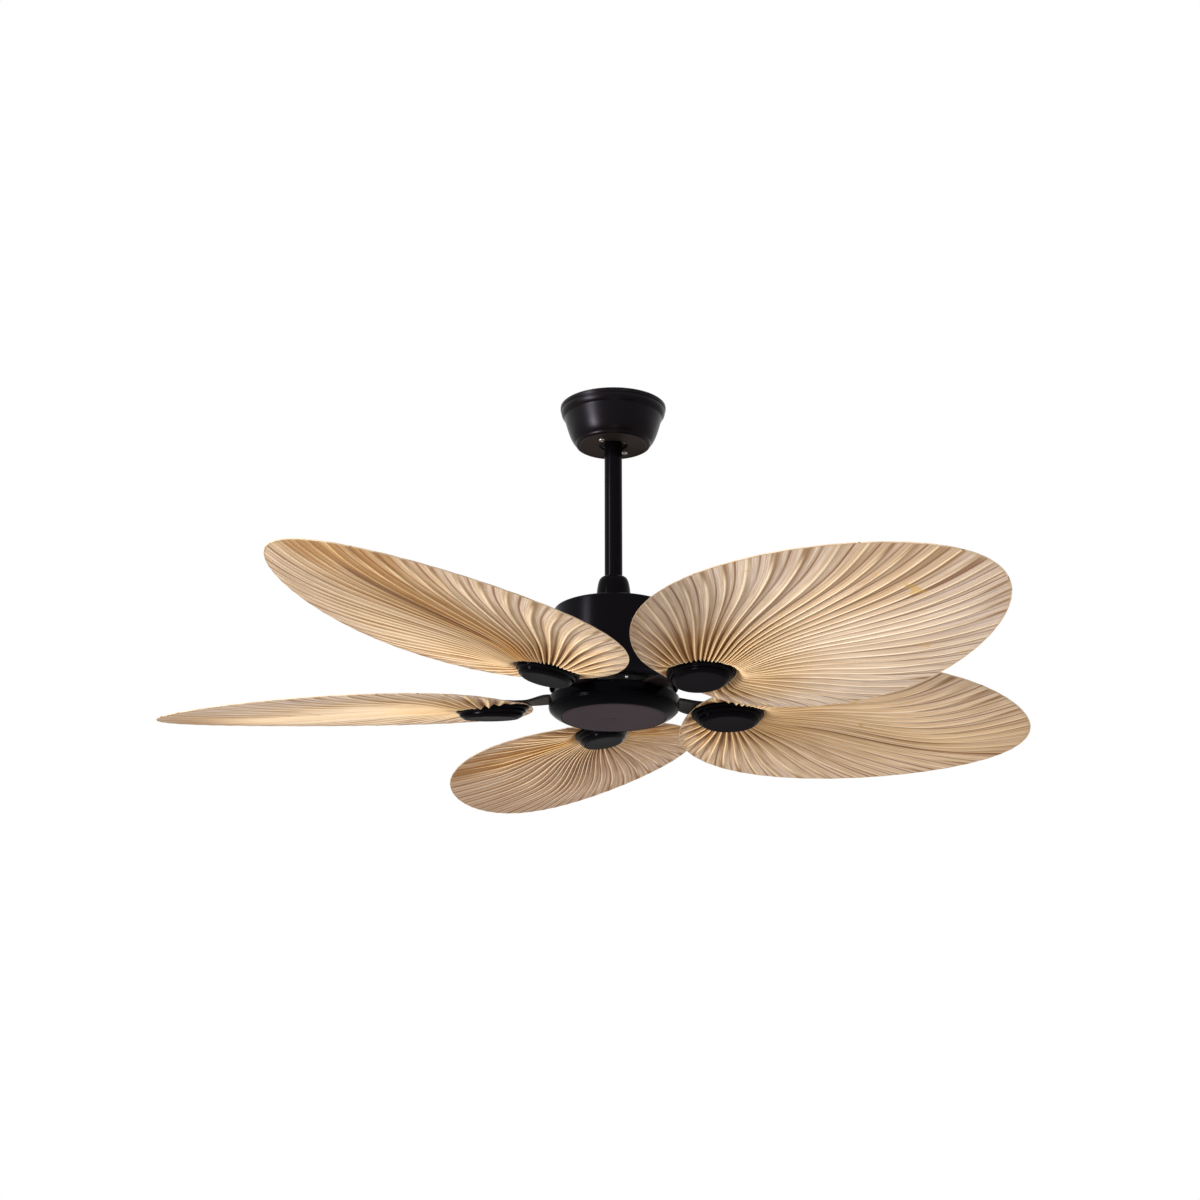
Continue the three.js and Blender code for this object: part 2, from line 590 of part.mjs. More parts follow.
// The cast yoke takes the rod in its collar, the housing on its flange and the shaft in its hub.
function motorYoke() {
  const collar = ROD_BORE + YOKE_WALL;
  const body = revolve(
    [
      [collar, YOKE_TOP],
      [collar, FLANGE_TOP],
      [YOKE_FLANGE_RADIUS, FLANGE_TOP],
      [YOKE_FLANGE_RADIUS, FLANGE_BOTTOM],
      [BEARING_RADIUS, FLANGE_BOTTOM],
      [BEARING_RADIUS, YOKE_BOTTOM],
      [SHAFT_HOLE, YOKE_BOTTOM],
      [SHAFT_HOLE, ROD_BOTTOM - YOKE_FLOOR],
      [ROD_BORE, ROD_BOTTOM - YOKE_FLOOR],
      [ROD_BORE, YOKE_TOP],
    ],
    ROUND_SMALL,
  );
  const holes = housingScrewPlaces().map(([x, y]) =>
    screwHole(HOLE_RADIUS, YOKE_FLANGE + CLEAR, [x, y, FLANGE_TOP]),
  );
  holes.push(bar(PIN_HOLE_RADIUS, 2 * (collar + CLEAR), [0, 0, YOKE_PIN_Z], "x"));
  return piece("motor_yoke", cut(body, holes), castMetal);
}

function yokePin() {
  const length = 2 * (ROD_BORE + YOKE_WALL + PIN_PROUD);
  return piece("yoke_pin", bar(PIN_RADIUS, length, [0, 0, YOKE_PIN_Z], "x"), steel);
}

// The hollow shaft stands in the yoke's hub, below the rod's end, and carries the support plate and its nut.
function motorShaft() {
  const top = ROD_BOTTOM - YOKE_FLOOR - SEAT;
  const bottom = SUPPORT_BOTTOM - NUT_HEIGHT - SHAFT_PROUD;
  return piece("motor_shaft", ring(SHAFT_BORE, SHAFT_RADIUS, bottom, top, ROUND_SMALL), steel);
}

// A hub with T-shaped poles.
function statorCore() {
  const hub = STATOR_RADIUS * 0.42;
  const neck = STATOR_RADIUS * 0.86;
  const halfStem = STATOR_RADIUS * 0.13;
  const slice = (2 * Math.PI) / STATOR_POLES;
  const halfShoe = slice * 0.42;
  const at = (radius, angle) => new THREE.Vector2(radius * Math.cos(angle), radius * Math.sin(angle));
  const points = [];
  for (let pole = 0; pole < STATOR_POLES; pole++) {
    const middle = pole * slice;
    const [inStem, outStem] = [Math.asin(halfStem / hub), Math.asin(halfStem / neck)];
    points.push(
      at(hub, middle - inStem),
      at(neck, middle - outStem),
      at(neck, middle - halfShoe),
      at(STATOR_RADIUS, middle - halfShoe),
      at(STATOR_RADIUS, middle),
      at(STATOR_RADIUS, middle + halfShoe),
      at(neck, middle + halfShoe),
      at(neck, middle + outStem),
      at(hub, middle + inStem),
    );
  }
  const shape = new THREE.Shape(points);
  shape.holes.push(new THREE.Path().absarc(0, 0, SHAFT_HOLE, 0, 2 * Math.PI, true));
  const core = extruded(shape, STATOR_HEIGHT, ROUND_SMALL);
  return piece("stator_core", core.translate(0, 0, MOTOR_MIDDLE - STATOR_HEIGHT / 2), laminations);
}

// The coil heads above and below the stator.
function statorWindings() {
  const [inner, outer] = [STATOR_RADIUS * 0.45, STATOR_RADIUS * 0.84];
  const slope = (outer - inner) * 0.05;
  return onBothSides((side) => {
    const at = (share) => MOTOR_MIDDLE + side * (STATOR_HEIGHT / 2 + SEAT + COIL_HEIGHT * share);
    const outline = [
      [inner, at(0)],
      [outer, at(0)],
      [outer - slope, at(0.7)],
      [(inner + outer) / 2, at(1)],
      [inner + slope, at(0.7)],
    ];
    const name = side > 0 ? "winding_upper" : "winding_lower";
    return piece(name, revolve(outline, ROUND_SMALL), copper);
  });
}

// The housing's screws stand between the coupling cover and the edge of the yoke's flange.
function housingScrewPlaces() {
  const radius = (COVER_RADIUS + YOKE_FLANGE_RADIUS) / 2;
  const places = [];
  for (let i = 0; i < HOUSING_SCREWS; i++) {
    const azimuth = Math.PI / 2 + (2 * Math.PI * i) / HOUSING_SCREWS;
    places.push([radius * Math.cos(azimuth), radius * Math.sin(azimuth)]);
  }
  return places;
}

// The drum over the motor: open below, closed above except round the yoke's collar.
function motorHousing() {
  const mouth = ROD_BORE + YOKE_WALL + 3 * SEAT;
  const outer = [
    [HOUSING_FOOT_RADIUS, HOUSING_FOOT],
    [HOUSING_TOP_RADIUS, HOUSING_TOP - HOUSING_CORNER],
    [HOUSING_TOP_RADIUS - HOUSING_CORNER, HOUSING_TOP],
    [mouth, HOUSING_TOP],
  ];
  const drum = revolve(sheetWall(outer, -HOUSING_WALL), ROUND_LARGE);
  const holes = housingScrewPlaces().map(([x, y]) =>
    screwHole(HOLE_RADIUS, HOUSING_WALL + CLEAR, [x, y, HOUSING_TOP]),
  );
  return piece("motor_housing", cut(drum, holes), blackMetal);
}

function housingScrews() {
  return housingScrewPlaces().map(([x, y], i) => {
    const length = HOUSING_WALL + YOKE_FLANGE;
    return screw("housing_screw_" + (i + 1), SCREW_RADIUS, length, [x, y, HOUSING_TOP + SEAT], false);
  });
}

// The plate on the shaft's lower end carries the lower housing by its inner ledge.
function supportPlate() {
  const disc = ring(SHAFT_HOLE, BOWL_INNER - SEAT, SUPPORT_BOTTOM, SUPPORT_TOP, ROUND_LARGE);
  return piece("support_plate", disc, steel);
}

function shaftNut() {
  const top = SUPPORT_BOTTOM - SEAT;
  const hex = bar(SHAFT_RADIUS + NUT_WALL, NUT_HEIGHT, [0, 0, top - NUT_HEIGHT / 2], "z", 6);
  const bore = bar(SHAFT_HOLE, 2 * (NUT_HEIGHT + CLEAR), [0, 0, top], "z", ROUND_SMALL);
  return piece("shaft_nut", cut(hex, [bore]), steel);
}

// The shallow lower housing: a straight band, a step, and a round slope down to the cap's opening.
function switchHousing() {
  const ledge = BOWL_INNER - BOWL_LEDGE;
  const mouth = CAP_RADIUS + SEAT;
  const capSeat = CAP_TOP + SEAT;
  const bandFoot = BOWL_TOP - BOWL_BAND;
  const stepFoot = bandFoot - BOWL_BEAD;
  const outline = [
    [BOWL_RADIUS - BOWL_EDGE, BOWL_TOP],
    [BOWL_RADIUS, BOWL_TOP - BOWL_EDGE],
    [BOWL_RADIUS, bandFoot],
    [BOWL_RADIUS - BOWL_STEP, stepFoot],
    [(mouth + BOWL_RADIUS) / 2, lerp(BOWL_BOTTOM, stepFoot, 0.34)],
    [mouth, BOWL_BOTTOM],
    [mouth, capSeat],
    [mouth - BOWL_LEDGE, capSeat],
    [mouth - BOWL_LEDGE, capSeat + BOWL_WALL],
    [lerp(mouth, ledge, 0.6), lerp(capSeat + BOWL_WALL, bandFoot, 0.2)],
    [ledge, bandFoot],
    [ledge, SUPPORT_BOTTOM - SEAT],
    [BOWL_INNER, SUPPORT_BOTTOM - SEAT],
    [BOWL_INNER, BOWL_TOP],
  ];
  return piece("switch_housing", revolve(outline, ROUND_LARGE), blackMetal);
}

function capPlate() {
  const outline = [
    [0, BOWL_BOTTOM],
    [CAP_RADIUS - CAP_EDGE, BOWL_BOTTOM],
    [CAP_RADIUS, BOWL_BOTTOM + CAP_EDGE],
    [CAP_RADIUS, CAP_TOP],
    [0, CAP_TOP],
  ];
  return piece("cap_plate", revolve(outline, ROUND_LARGE), satinCap);
}

function runCapacitor() {
  const top = SUPPORT_BOTTOM - SEAT;
  const height = top - CAP_TOP - CAPACITOR_CLEAR;
  const body = slab(CAPACITOR_LENGTH, CAPACITOR_WIDTH, height, top - height, CAPACITOR_WIDTH / 8);
  return piece("run_capacitor", body.translate(0, CAPACITOR_SIDE, 0), plastic);
}

// ---------------------------------------------------------------- what turns

function bearings() {
  return [
    ["bearing_upper", MOTOR_TOP - BEARING_SUNK],
    ["bearing_lower", MOTOR_BOTTOM + BEARING_SUNK + BEARING_HEIGHT],
  ].map(([name, top]) =>
    piece(name, ring(SHAFT_HOLE, BEARING_RADIUS, top - BEARING_HEIGHT, top, ROUND_SMALL), steel),
  );
}

// The two halves of the motor's case. The upper one has a boss round its bearing.
function rotorShells() {
  const seat = BEARING_RADIUS + SEAT;
  const boss = seat + BEARING_BOSS;
  const joint = (MOTOR_TOP - MOTOR_BOTTOM - SEAT) / 2;
  const rim = MOTOR_RADIUS + MOTOR_RIM;
  const wall = MOTOR_RADIUS - MOTOR_WALL;
  return onBothSides((side) => {
    const end = side > 0 ? MOTOR_TOP : MOTOR_BOTTOM;
    const at = (radius, depth) => [radius, end - side * depth];
    const face = side > 0 ? BEARING_HEIGHT : 0;
    const outline = [
      at(seat, 0),
      ...(side > 0 ? [at(boss, 0), at(boss, face)] : []),
      at(MOTOR_RADIUS - MOTOR_SHOULDER, face),
      at(MOTOR_RADIUS, face + MOTOR_SHOULDER),
      at(MOTOR_RADIUS, joint - MOTOR_RIM_THICK),
      at(rim, joint - MOTOR_RIM_THICK),
      at(rim, joint),
      at(wall, joint),
      at(wall, BEARING_HEIGHT + MOTOR_SHOULDER + 1),
      at(wall - MOTOR_SHOULDER, BEARING_HEIGHT + MOTOR_END),
      at(seat, BEARING_HEIGHT + MOTOR_END),
    ];
    const name = side > 0 ? "rotor_shell_upper" : "rotor_shell_lower";
    return piece(name, revolve(outline, ROUND_MEDIUM), castMetal);
  });
}

function rotorRing() {
  const inner = STATOR_RADIUS + AIR_GAP;
  const half = STATOR_HEIGHT / 2 + RING_OVERHANG;
  const body = ring(inner, inner + RING_THICK, MOTOR_MIDDLE - half, MOTOR_MIDDLE + half, ROUND_MEDIUM);
  return piece("rotor_ring", body, laminations);
}

const bladeAzimuth = (k) => radians(FIRST_BLADE + (360 / BLADES) * k);

// The flywheel under the motor, with a pocket and a screw hole for each arm.
function flywheel() {
  const bore = BEARING_RADIUS + FLYWHEEL_HUB;
  const boss = bore + FLYWHEEL_BOSS;
  const disc = revolve(
    [
      [bore, MOTOR_BOTTOM - SEAT],
      [boss, MOTOR_BOTTOM - SEAT],
      [boss, FLYWHEEL_TOP],
      [FLYWHEEL_RADIUS, FLYWHEEL_TOP],
      [FLYWHEEL_RADIUS, FLYWHEEL_BOTTOM],
      [bore, FLYWHEEL_BOTTOM],
    ],
    ROUND_LARGE,
  );
  const length = 2 * (ARM_LAP + SEAT);
  const height = ARM_POCKET + CLEAR;
  const x = ARM_ROOT - SEAT + length / 2;
  const tools = LEAVES.flatMap((_, k) => {
    const pocket = box(length, ARM_WIDTH + CLEAR, height, x, 0, POCKET_ROOF - height / 2);
    const hole = screwHole(ROOT_HOLE_RADIUS, ROOT_SCREW_REACH + 1, [ARM_SCREW, 0, POCKET_ROOF]);
    return [pocket, hole].map((tool) => tool.rotateZ(bladeAzimuth(k)));
  });
  return piece("flywheel", cut(disc, tools), castMetal);
}

// A point of a blade's own frame (along, across, above the leaf) in the frame of its azimuth.
function tilted(leaf, along, across, above) {
  const point = new THREE.Vector3(along, across, above);
  point.applyAxisAngle(new THREE.Vector3(1, 0, 0), -radians(leaf.pitch));
  point.applyAxisAngle(new THREE.Vector3(0, 1, 0), -radians(leaf.lift));
  return point;
}

// Half the width of an arm at a distance from the axis: a strip that widens to an oval plate.
function armHalfWidth(along, level) {
  const widening = Math.min((along - ARM_ROOT) / (level - ARM_ROOT), 1);
  const strip = lerp(ARM_ROOT_WIDTH, ARM_WIDTH, widening) / 2;
  const share = (along - OVAL_CENTRE) / (PLATE_LENGTH / 2);
  const oval = Math.abs(share) < 1 ? (PLATE_WIDTH / 2) * Math.sqrt(1 - share ** 2) : 0;
  return Math.max(oval, along < OVAL_CENTRE ? strip : ARM_TIP);
}

// A flat arm: level at the flywheel, turned to the blade's pitch, and widened to an oval plate on the leaf.
function bladeIron(k) {
  const leaf = LEAVES[k];
  const level = HOUSING_FOOT_RADIUS + ARM_LEVEL;
  const rootHeight = ARM_Z - BLADE_Z;
  const half = ARM_THICK / 2;
  const stations = [ARM_ROOT, level];
  for (let i = 1; i <= ARM_TURN_ROWS; i++) {
    stations.push(lerp(level, PLATE_START, i / ARM_TURN_ROWS));
  }
  for (let i = 1; i <= PLATE_ROWS; i++) {
    stations.push(OVAL_CENTRE - (PLATE_LENGTH / 2) * Math.cos((Math.PI * i) / PLATE_ROWS));
  }
  const rings = stations.map((along) => {
    const blend = smoothstep(along, level, PLATE_START);
    const w = armHalfWidth(along, level);
    const corners = [
      [-w, -half + ARM_EDGE],
      [-w + ARM_EDGE, -half],
      [w - ARM_EDGE, -half],
      [w, -half + ARM_EDGE],
      [w, half],
      [-w, half],
    ];
    return corners.map(([across, up]) => {
      const onPlate = tilted(leaf, along, across, PLATE_H + up);
      return new THREE.Vector3(along, across, rootHeight + up).lerp(onPlate, blend);
    });
  });
  const rootHole = screwHole(ROOT_HOLE_RADIUS, ARM_THICK + CLEAR, [ARM_SCREW, 0, rootHeight]);
  const plateHoles = leafScrewPlaces().map((along) => {
    const hole = screwHole(HOLE_RADIUS, ARM_THICK + CLEAR, [along, 0, PLATE_H]);
    return hole.rotateX(-radians(leaf.pitch)).rotateY(-radians(leaf.lift));
  });
  return piece("blade_iron_" + (k + 1), cut(loft(rings), [rootHole, ...plateHoles]), blackMetal);
}

const leafScrewPlaces = () => onBothSides((side) => OVAL_CENTRE + (side * LEAF_SCREW_SPACING) / 2);

// The oval edge of a leaf, at an angle round it, as [along, across] of the blade's frame.
function leafEdge(leaf, angle) {
  const share = (1 + Math.cos(angle)) / 2;
  const across = leaf.half * Math.sin(angle) * (1 - LEAF_WASP * Math.cos(angle));
  return [LEAF_START + leaf.length * share, across + LEAF_SWEEP * share ** 2 + leaf.aside];
}

// How high the leaf's middle surface lies at a point: it droops and loses pitch towards the tip.
function leafHeight(leaf, along, across) {
  const share = (along - LEAF_START) / leaf.length;
  return -LEAF_DROOP * share ** 2 - radians(LEAF_TWIST) * share * across;
}

// From the cover's centre to its edge, in the direction of an angle.
function ovalReach(angle) {
  const [c, s] = [Math.cos(angle), Math.sin(angle)];
  return 0.5 / Math.hypot(c / OVAL_LENGTH, s / OVAL_WIDTH);
}

// Where a ray of the fan meets the leaf's edge, as an angle, and how deep it folds. Even rays are crests.
function pleatRay(k, ray) {
  const crest = (place) => {
    const i = place % PLEATS;
    const shift = PLEAT_UNEVEN * Math.sin(7.3 * i + 2.1 * k);
    return [place + shift, 1 + PLEAT_VARIETY * Math.sin(5.1 * i + 1.7 * k)];
  };
  const [before, after] = [crest(Math.floor(ray / 2)), crest(Math.ceil(ray / 2))];
  return [(Math.PI * (before[0] + after[0])) / PLEATS, (before[1] + after[1]) / 2];
}

// How far a pleat's line bows to its left, as a share of its length, for its direction from the heart.
function pleatBow(drape, heading, row) {
  const turned = heading > Math.PI ? heading - 2 * Math.PI : heading;
  const side = lerp(...drape.bows, smoothstep(turned, -0.25, 0.25));
  const front = 1 - smoothstep(Math.abs(turned), 1.15, 1.6);
  const back = BACK_BOW * Math.sin(2 * turned) * smoothstep(Math.abs(turned), 1.3, 1.9);
  return (side * front - back) * Math.sin(Math.PI * row ** 1.7);
}

// A pressed palm leaf: pleats fan out from its heart under the cover, deepest half way, flat at the edge.
function palmLeaf(k) {
  const leaf = LEAVES[k];
  const drape = DRAPES[k];
  const rays = 2 * PLEATS;
  const rows = [0, 0.1, 0.62, 1];
  const depths = [0, 0.9, 1, 0.2];
  const turn = radians(leaf.turn);
  const sheet = (side) => {
    const points = [];
    rows.forEach((row, i) => {
      for (let ray = 0; ray < rays; ray++) {
        const [angle, depth] = pleatRay(k, ray);
        const [edgeAlong, edgeAcross] = leafEdge(leaf, angle);
        const edge = new THREE.Vector2(edgeAlong - OVAL_CENTRE, edgeAcross);
        const heart = ovalReach(edge.angle() + turn) + HEART_MARGIN;
        const start = Math.min(heart, edge.length() * HEART_LIMIT);
        const long = edge.length() - start;
        const past = long * row;
        const bow = long * pleatBow(drape, edge.angle(), row);
        const flat = new THREE.Vector2(start + past, bow).rotateAround(new THREE.Vector2(), edge.angle());
        const fullness = Math.min(long / PLEAT_FULL, 1);
        const fold = (ray % 2 ? 0.5 : -0.5) * PLEAT_DEPTH * depths[i] * depth * fullness;
        const hang = smoothstep(past, 0, BELLY_START) * (1 - smoothstep(past, BELLY_START, BELLY_END));
        const shape = leafHeight(leaf, OVAL_CENTRE + flat.x, flat.y) * smoothstep(past, 0, LEAF_SETTLE);
        const height = shape + fold - drape.belly * hang * fullness;
        flat.rotateAround(new THREE.Vector2(), turn);
        points.push(OVAL_CENTRE + flat.x, flat.y, height + (side * LEAF_THICK) / 2);
      }
    });
    return points;
  };
  const skin = surface([...sheet(-1), ...sheet(1)], leafTriangles(rows.length, rays));
  const holes = leafScrewPlaces().map((along) => screwHole(HOLE_RADIUS, LEAF_THICK + CLEAR, [along, 0, 0]));
  return piece("palm_leaf_" + (k + 1), cut(skin, holes), palm);
}

// The triangles of two sheets of rows by rays, joined at the rim and closed at the heart.
function leafTriangles(rows, rays) {
  const perSheet = rows * rays;
  const index = [];
  for (let row = 0; row + 1 < rows; row++) {
    for (let ray = 0; ray < rays; ray++) {
      const next = (ray + 1) % rays;
      const [a, b] = [row * rays + ray, row * rays + next];
      const [c, d] = [a + rays, b + rays];
      index.push(a, b, c, b, d, c);
      const [e, f, g, h] = [a, b, c, d].map((i) => i + perSheet);
      index.push(e, g, f, f, g, h);
    }
  }
  const rim = perSheet - rays;
  for (let ray = 0; ray < rays; ray++) {
    const [a, b] = [rim + ray, rim + ((ray + 1) % rays)];
    index.push(a, b, b + perSheet, a, b + perSheet, a + perSheet);
    if (ray > 0 && ray + 1 < rays) {
      index.push(0, ray + 1, ray);
      index.push(perSheet, perSheet + ray, perSheet + ray + 1);
    }
  }
  return index;
}

// The stepped oval cover below the leaf: a cast shell with two bosses for the leaf's screws.
function leafCover(k) {
  const top = -LEAF_THICK / 2 - SEAT;
  const radius = OVAL_LENGTH / 2;
  const wide = (share) => radius * lerp(1, OVAL_FACE, share);
  const deep = (share) => top - OVAL_DEPTH * share;
  const outline = [
    [wide(0), deep(0)],
    [wide(0), deep(0.2)],
    [wide(0.34), deep(0.28)],
    [wide(0.34), deep(0.52)],
    [wide(0.68), deep(0.6)],
    [wide(0.68), deep(0.84)],
    [wide(1), deep(1)],
    [0, deep(1)],
    [0, deep(1) + OVAL_WALL],
    [wide(1) - OVAL_WALL, deep(1) + OVAL_WALL],
    [wide(0.6) - OVAL_WALL, deep(0)],
  ];
  const shell = revolve(outline, ROUND_OVAL).scale(1, OVAL_WIDTH / OVAL_LENGTH, 1);
  const bossHeight = OVAL_DEPTH - OVAL_WALL / 2;
  const spots = leafScrewPlaces().map((along) => along - OVAL_CENTRE);
  const bosses = spots.map((x) =>
    bar(SCREW_RADIUS + OVAL_BOSS, bossHeight, [x, 0, top - bossHeight / 2], "z", ROUND_SCREW),
  );
  const holes = spots.map((x) => screwHole(HOLE_RADIUS, LEAF_SCREW_REACH + 1, [x, 0, top]));
  const body = cut(joined([shell, ...bosses]), holes);
  return piece("leaf_cover_" + (k + 1), body.translate(OVAL_CENTRE, 0, 0), blackMetal);
}

function leafScrews(k) {
  const seat = PLATE_H + ARM_THICK / 2 + SEAT;
  const length = ARM_THICK + LEAF_THICK + 3 * SEAT + LEAF_SCREW_REACH;
  return leafScrewPlaces().map((along, i) =>
    screw("leaf_screw_" + (k + 1) + "ab"[i], SCREW_RADIUS, length, [along, 0, seat], false),
  );
}

function ironScrew(k) {
  const length = ARM_THICK + 2 * SEAT + ROOT_SCREW_REACH;
  const seat = ARM_BOTTOM - BLADE_Z - SEAT;
  return screw("iron_screw_" + (k + 1), ROOT_SCREW_RADIUS, length, [ARM_SCREW, 0, seat], true);
}

// One blade: its arm and root screw at the blade's azimuth, and the leaf, its cover and screws tilted on it.
function blade(k) {
  const azimuth = new THREE.Group();
  azimuth.rotation.z = bladeAzimuth(k);
  azimuth.position.z = BLADE_Z;
  const tilt = new THREE.Group();
  tilt.rotation.order = "ZYX";
  tilt.rotation.y = -radians(LEAVES[k].lift);
  tilt.rotation.x = -radians(LEAVES[k].pitch);
  tilt.add(palmLeaf(k), leafCover(k), ...leafScrews(k));
  azimuth.add(bladeIron(k), ironScrew(k), tilt);
  return azimuth;
}

// ---------------------------------------------------------------- the whole fan

const ceilingMount = new THREE.Group();
ceilingMount.add(hangerBracket(), canopy(), ...canopyScrews());

const hangingFrame = new THREE.Group();
hangingFrame.add(hangerBall(), ballPin(), downrod(), couplingCover());
hangingFrame.add(motorYoke(), yokePin(), motorShaft(), statorCore(), ...statorWindings());
hangingFrame.add(motorHousing(), ...housingScrews());
hangingFrame.add(supportPlate(), shaftNut(), switchHousing(), capPlate(), runCapacitor());

const rotor = new THREE.Group();
rotor.add(...bearings(), ...rotorShells(), rotorRing(), flywheel());
for (let k = 0; k < BLADES; k++) rotor.add(blade(k));

const fan = new THREE.Group();
fan.add(ceilingMount, hangingFrame, rotor);

export default fan;
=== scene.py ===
# Ceiling fan with five pressed palm-leaf blades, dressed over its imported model.
import math

import bpy
from mathutils import Matrix, Vector, noise


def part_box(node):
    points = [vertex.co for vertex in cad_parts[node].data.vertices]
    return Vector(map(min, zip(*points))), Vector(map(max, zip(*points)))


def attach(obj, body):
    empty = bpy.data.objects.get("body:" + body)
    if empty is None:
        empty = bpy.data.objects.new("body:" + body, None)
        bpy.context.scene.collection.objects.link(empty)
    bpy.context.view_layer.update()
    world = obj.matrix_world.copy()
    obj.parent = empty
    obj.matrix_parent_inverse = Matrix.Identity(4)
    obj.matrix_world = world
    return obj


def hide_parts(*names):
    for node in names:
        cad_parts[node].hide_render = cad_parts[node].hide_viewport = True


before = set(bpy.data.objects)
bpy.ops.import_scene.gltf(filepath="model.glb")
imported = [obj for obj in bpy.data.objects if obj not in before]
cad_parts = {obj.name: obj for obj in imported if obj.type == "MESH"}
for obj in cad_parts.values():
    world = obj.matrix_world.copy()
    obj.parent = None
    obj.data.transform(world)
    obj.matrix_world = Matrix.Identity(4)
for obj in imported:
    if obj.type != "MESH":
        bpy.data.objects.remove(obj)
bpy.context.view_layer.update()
mm = 0.001  # pieces are written in millimetres
print("frame loaded:", len(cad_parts), "nodes")


# ---- node helpers

def put(tree, kind, inputs=None, **settings):
    made = tree.nodes.new("ShaderNode" + kind)
    for name, value in settings.items():
        setattr(made, name, value)
    for socket, value in (inputs or {}).items():
        if isinstance(value, bpy.types.NodeSocket):
            tree.links.new(value, made.inputs[socket])
        else:
            made.inputs[socket].default_value = value
    return made


def place(tree, group, values):
    return put(tree, "Group", values, node_tree=group)


def calc(tree, operation, first, second=None):
    inputs = {0: first} if second is None else {0: first, 1: second}
    return put(tree, "Math", inputs, operation=operation).outputs[0]


# Goes softly from start to end while the value goes from low to high.
def between(tree, value, low, high, start=0.0, end=1.0):
    inputs = {0: value, 1: low, 2: high, 3: start, 4: end}
    return put(tree, "MapRange", inputs, interpolation_type="SMOOTHSTEP").outputs[0]


def blended(tree, share, first, second, how="MIX"):
    return put(tree, "Mix", {0: share, 6: first, 7: second}, data_type="RGBA", blend_type=how).outputs[2]


def located(tree):
    return put(tree, "TexCoord").outputs["Object"]


def speckle(tree, vector, scale, detail=3.0, rough=0.5):
    inputs = {"Vector": vector, "Scale": scale, "Detail": detail, "Roughness": rough}
    return put(tree, "TexNoise", inputs).outputs["Fac"]


def newGroup(name, inputs, outputs):
    group = bpy.data.node_groups.new(name, "ShaderNodeTree")
    for label, kind, value in inputs:
        socket = group.interface.new_socket(name=label, in_out="INPUT", socket_type="NodeSocket" + kind)
        socket.default_value = value
    for label, kind in outputs:
        group.interface.new_socket(name=label, in_out="OUTPUT", socket_type="NodeSocket" + kind)
    return group, group.nodes.new("NodeGroupInput").outputs, group.nodes.new("NodeGroupOutput").inputs


def answered(group, out, **results):
    for name, value in results.items():
        group.links.new(value, out[name])
    return group


def newMaterial(name, constants):
    material = bpy.data.materials.new(name)
    material.use_nodes = True
    shader = material.node_tree.nodes["Principled BSDF"]
    for socket, value in constants.items():
        shader.inputs[socket].default_value = value
    return material, material.node_tree, shader


# ---- camera and studio

cameraSetup = {
    "place": (0.0, -3.0632, -1.2821),
    "forward": (-0.00566, 0.95031, 0.31127),
    "roll": -0.000777,
    "lens": 72.24,
    "sensor": 36.0,
}


def addCamera(setup):
    data = bpy.data.cameras.new("fanCamera")
    data.sensor_width = setup["sensor"]
    data.lens = setup["lens"]
    camera = bpy.data.objects.new("fanCamera", data)
    bpy.context.collection.objects.link(camera)
    forward = Vector(setup["forward"]).normalized()
    level = forward.cross(Vector((0, 0, 1))).normalized()
    upright = level.cross(forward)
    c, s = math.cos(setup["roll"]), math.sin(setup["roll"])
    right = level * c + upright * s
    up = upright * c - level * s
    turn = Matrix((right, up, -forward)).transposed().to_4x4()
    camera.matrix_world = Matrix.Translation(Vector(setup["place"])) @ turn
    bpy.context.scene.camera = camera


studio = {
    "floorDrop": -4.4,  # below the ceiling face, in metres
    "floorSize": 160.0,
    "floorTint": (0.9, 0.89, 0.88, 1),
    "floorRough": 0.85,
    "skyTint": (1.0, 0.99, 0.98, 1),
    "skyLight": 0.68,  # what the white room gives to matt surfaces
    "lamps": [  # name, place, aim, width, height, power, seen in gloss
        ("leftBox", (-2.45, -1.85, -1.05), (0, 0, -0.3), 0.56, 1.06, 93, True),
        ("leftHigh", (-2.45, -1.8, 0.42), (0, 0, -0.3), 0.62, 1.5, 60, True),
        ("edgeStrip", (-0.5, -2.5, -2.9), (0, 0, -0.42), 2.4, 0.22, 9, True),
        ("overhead", (-0.6, 0.3, 2.6), (0, 0, -0.4), 3.0, 3.0, 18, False),
    ],
}


def addStudio(setup):
    bpy.ops.mesh.primitive_plane_add(size=setup["floorSize"], location=(0, 0, setup["floorDrop"]))
    floor = bpy.context.object
    floor.name = "studioFloor"
    finish = newMaterial("paleFloor", {"Base Color": setup["floorTint"], "Roughness": setup["floorRough"]})[0]
    floor.data.materials.append(finish)

    world = bpy.data.worlds.new("whiteRoom")
    bpy.context.scene.world = world
    world.use_nodes = True
    tree = world.node_tree
    tree.nodes.clear()
    rays = put(tree, "LightPath").outputs
    seen = calc(tree, "MAXIMUM", rays["Is Camera Ray"], rays["Is Glossy Ray"])
    seen = calc(tree, "MAXIMUM", seen, rays["Is Transmission Ray"])
    lit = put(tree, "Background", {"Color": setup["skyTint"], "Strength": setup["skyLight"]})
    white = put(tree, "Background", {"Color": (1, 1, 1, 1), "Strength": 1.0})
    both = put(tree, "MixShader", {0: seen, 1: lit.outputs[0], 2: white.outputs[0]})
    put(tree, "OutputWorld", {"Surface": both.outputs[0]})

    for name, place, aim, width, height, power, inGloss in setup["lamps"]:
        data = bpy.data.lights.new(name, "AREA")
        data.shape = "RECTANGLE"
        data.size = width
        data.size_y = height
        data.energy = power
        lamp = bpy.data.objects.new(name, data)
        lamp.location = place
        lamp.rotation_euler = (Vector(aim) - Vector(place)).to_track_quat("-Z", "Y").to_euler()
        lamp.visible_camera = False
        lamp.visible_glossy = inGloss
        bpy.context.collection.objects.link(lamp)


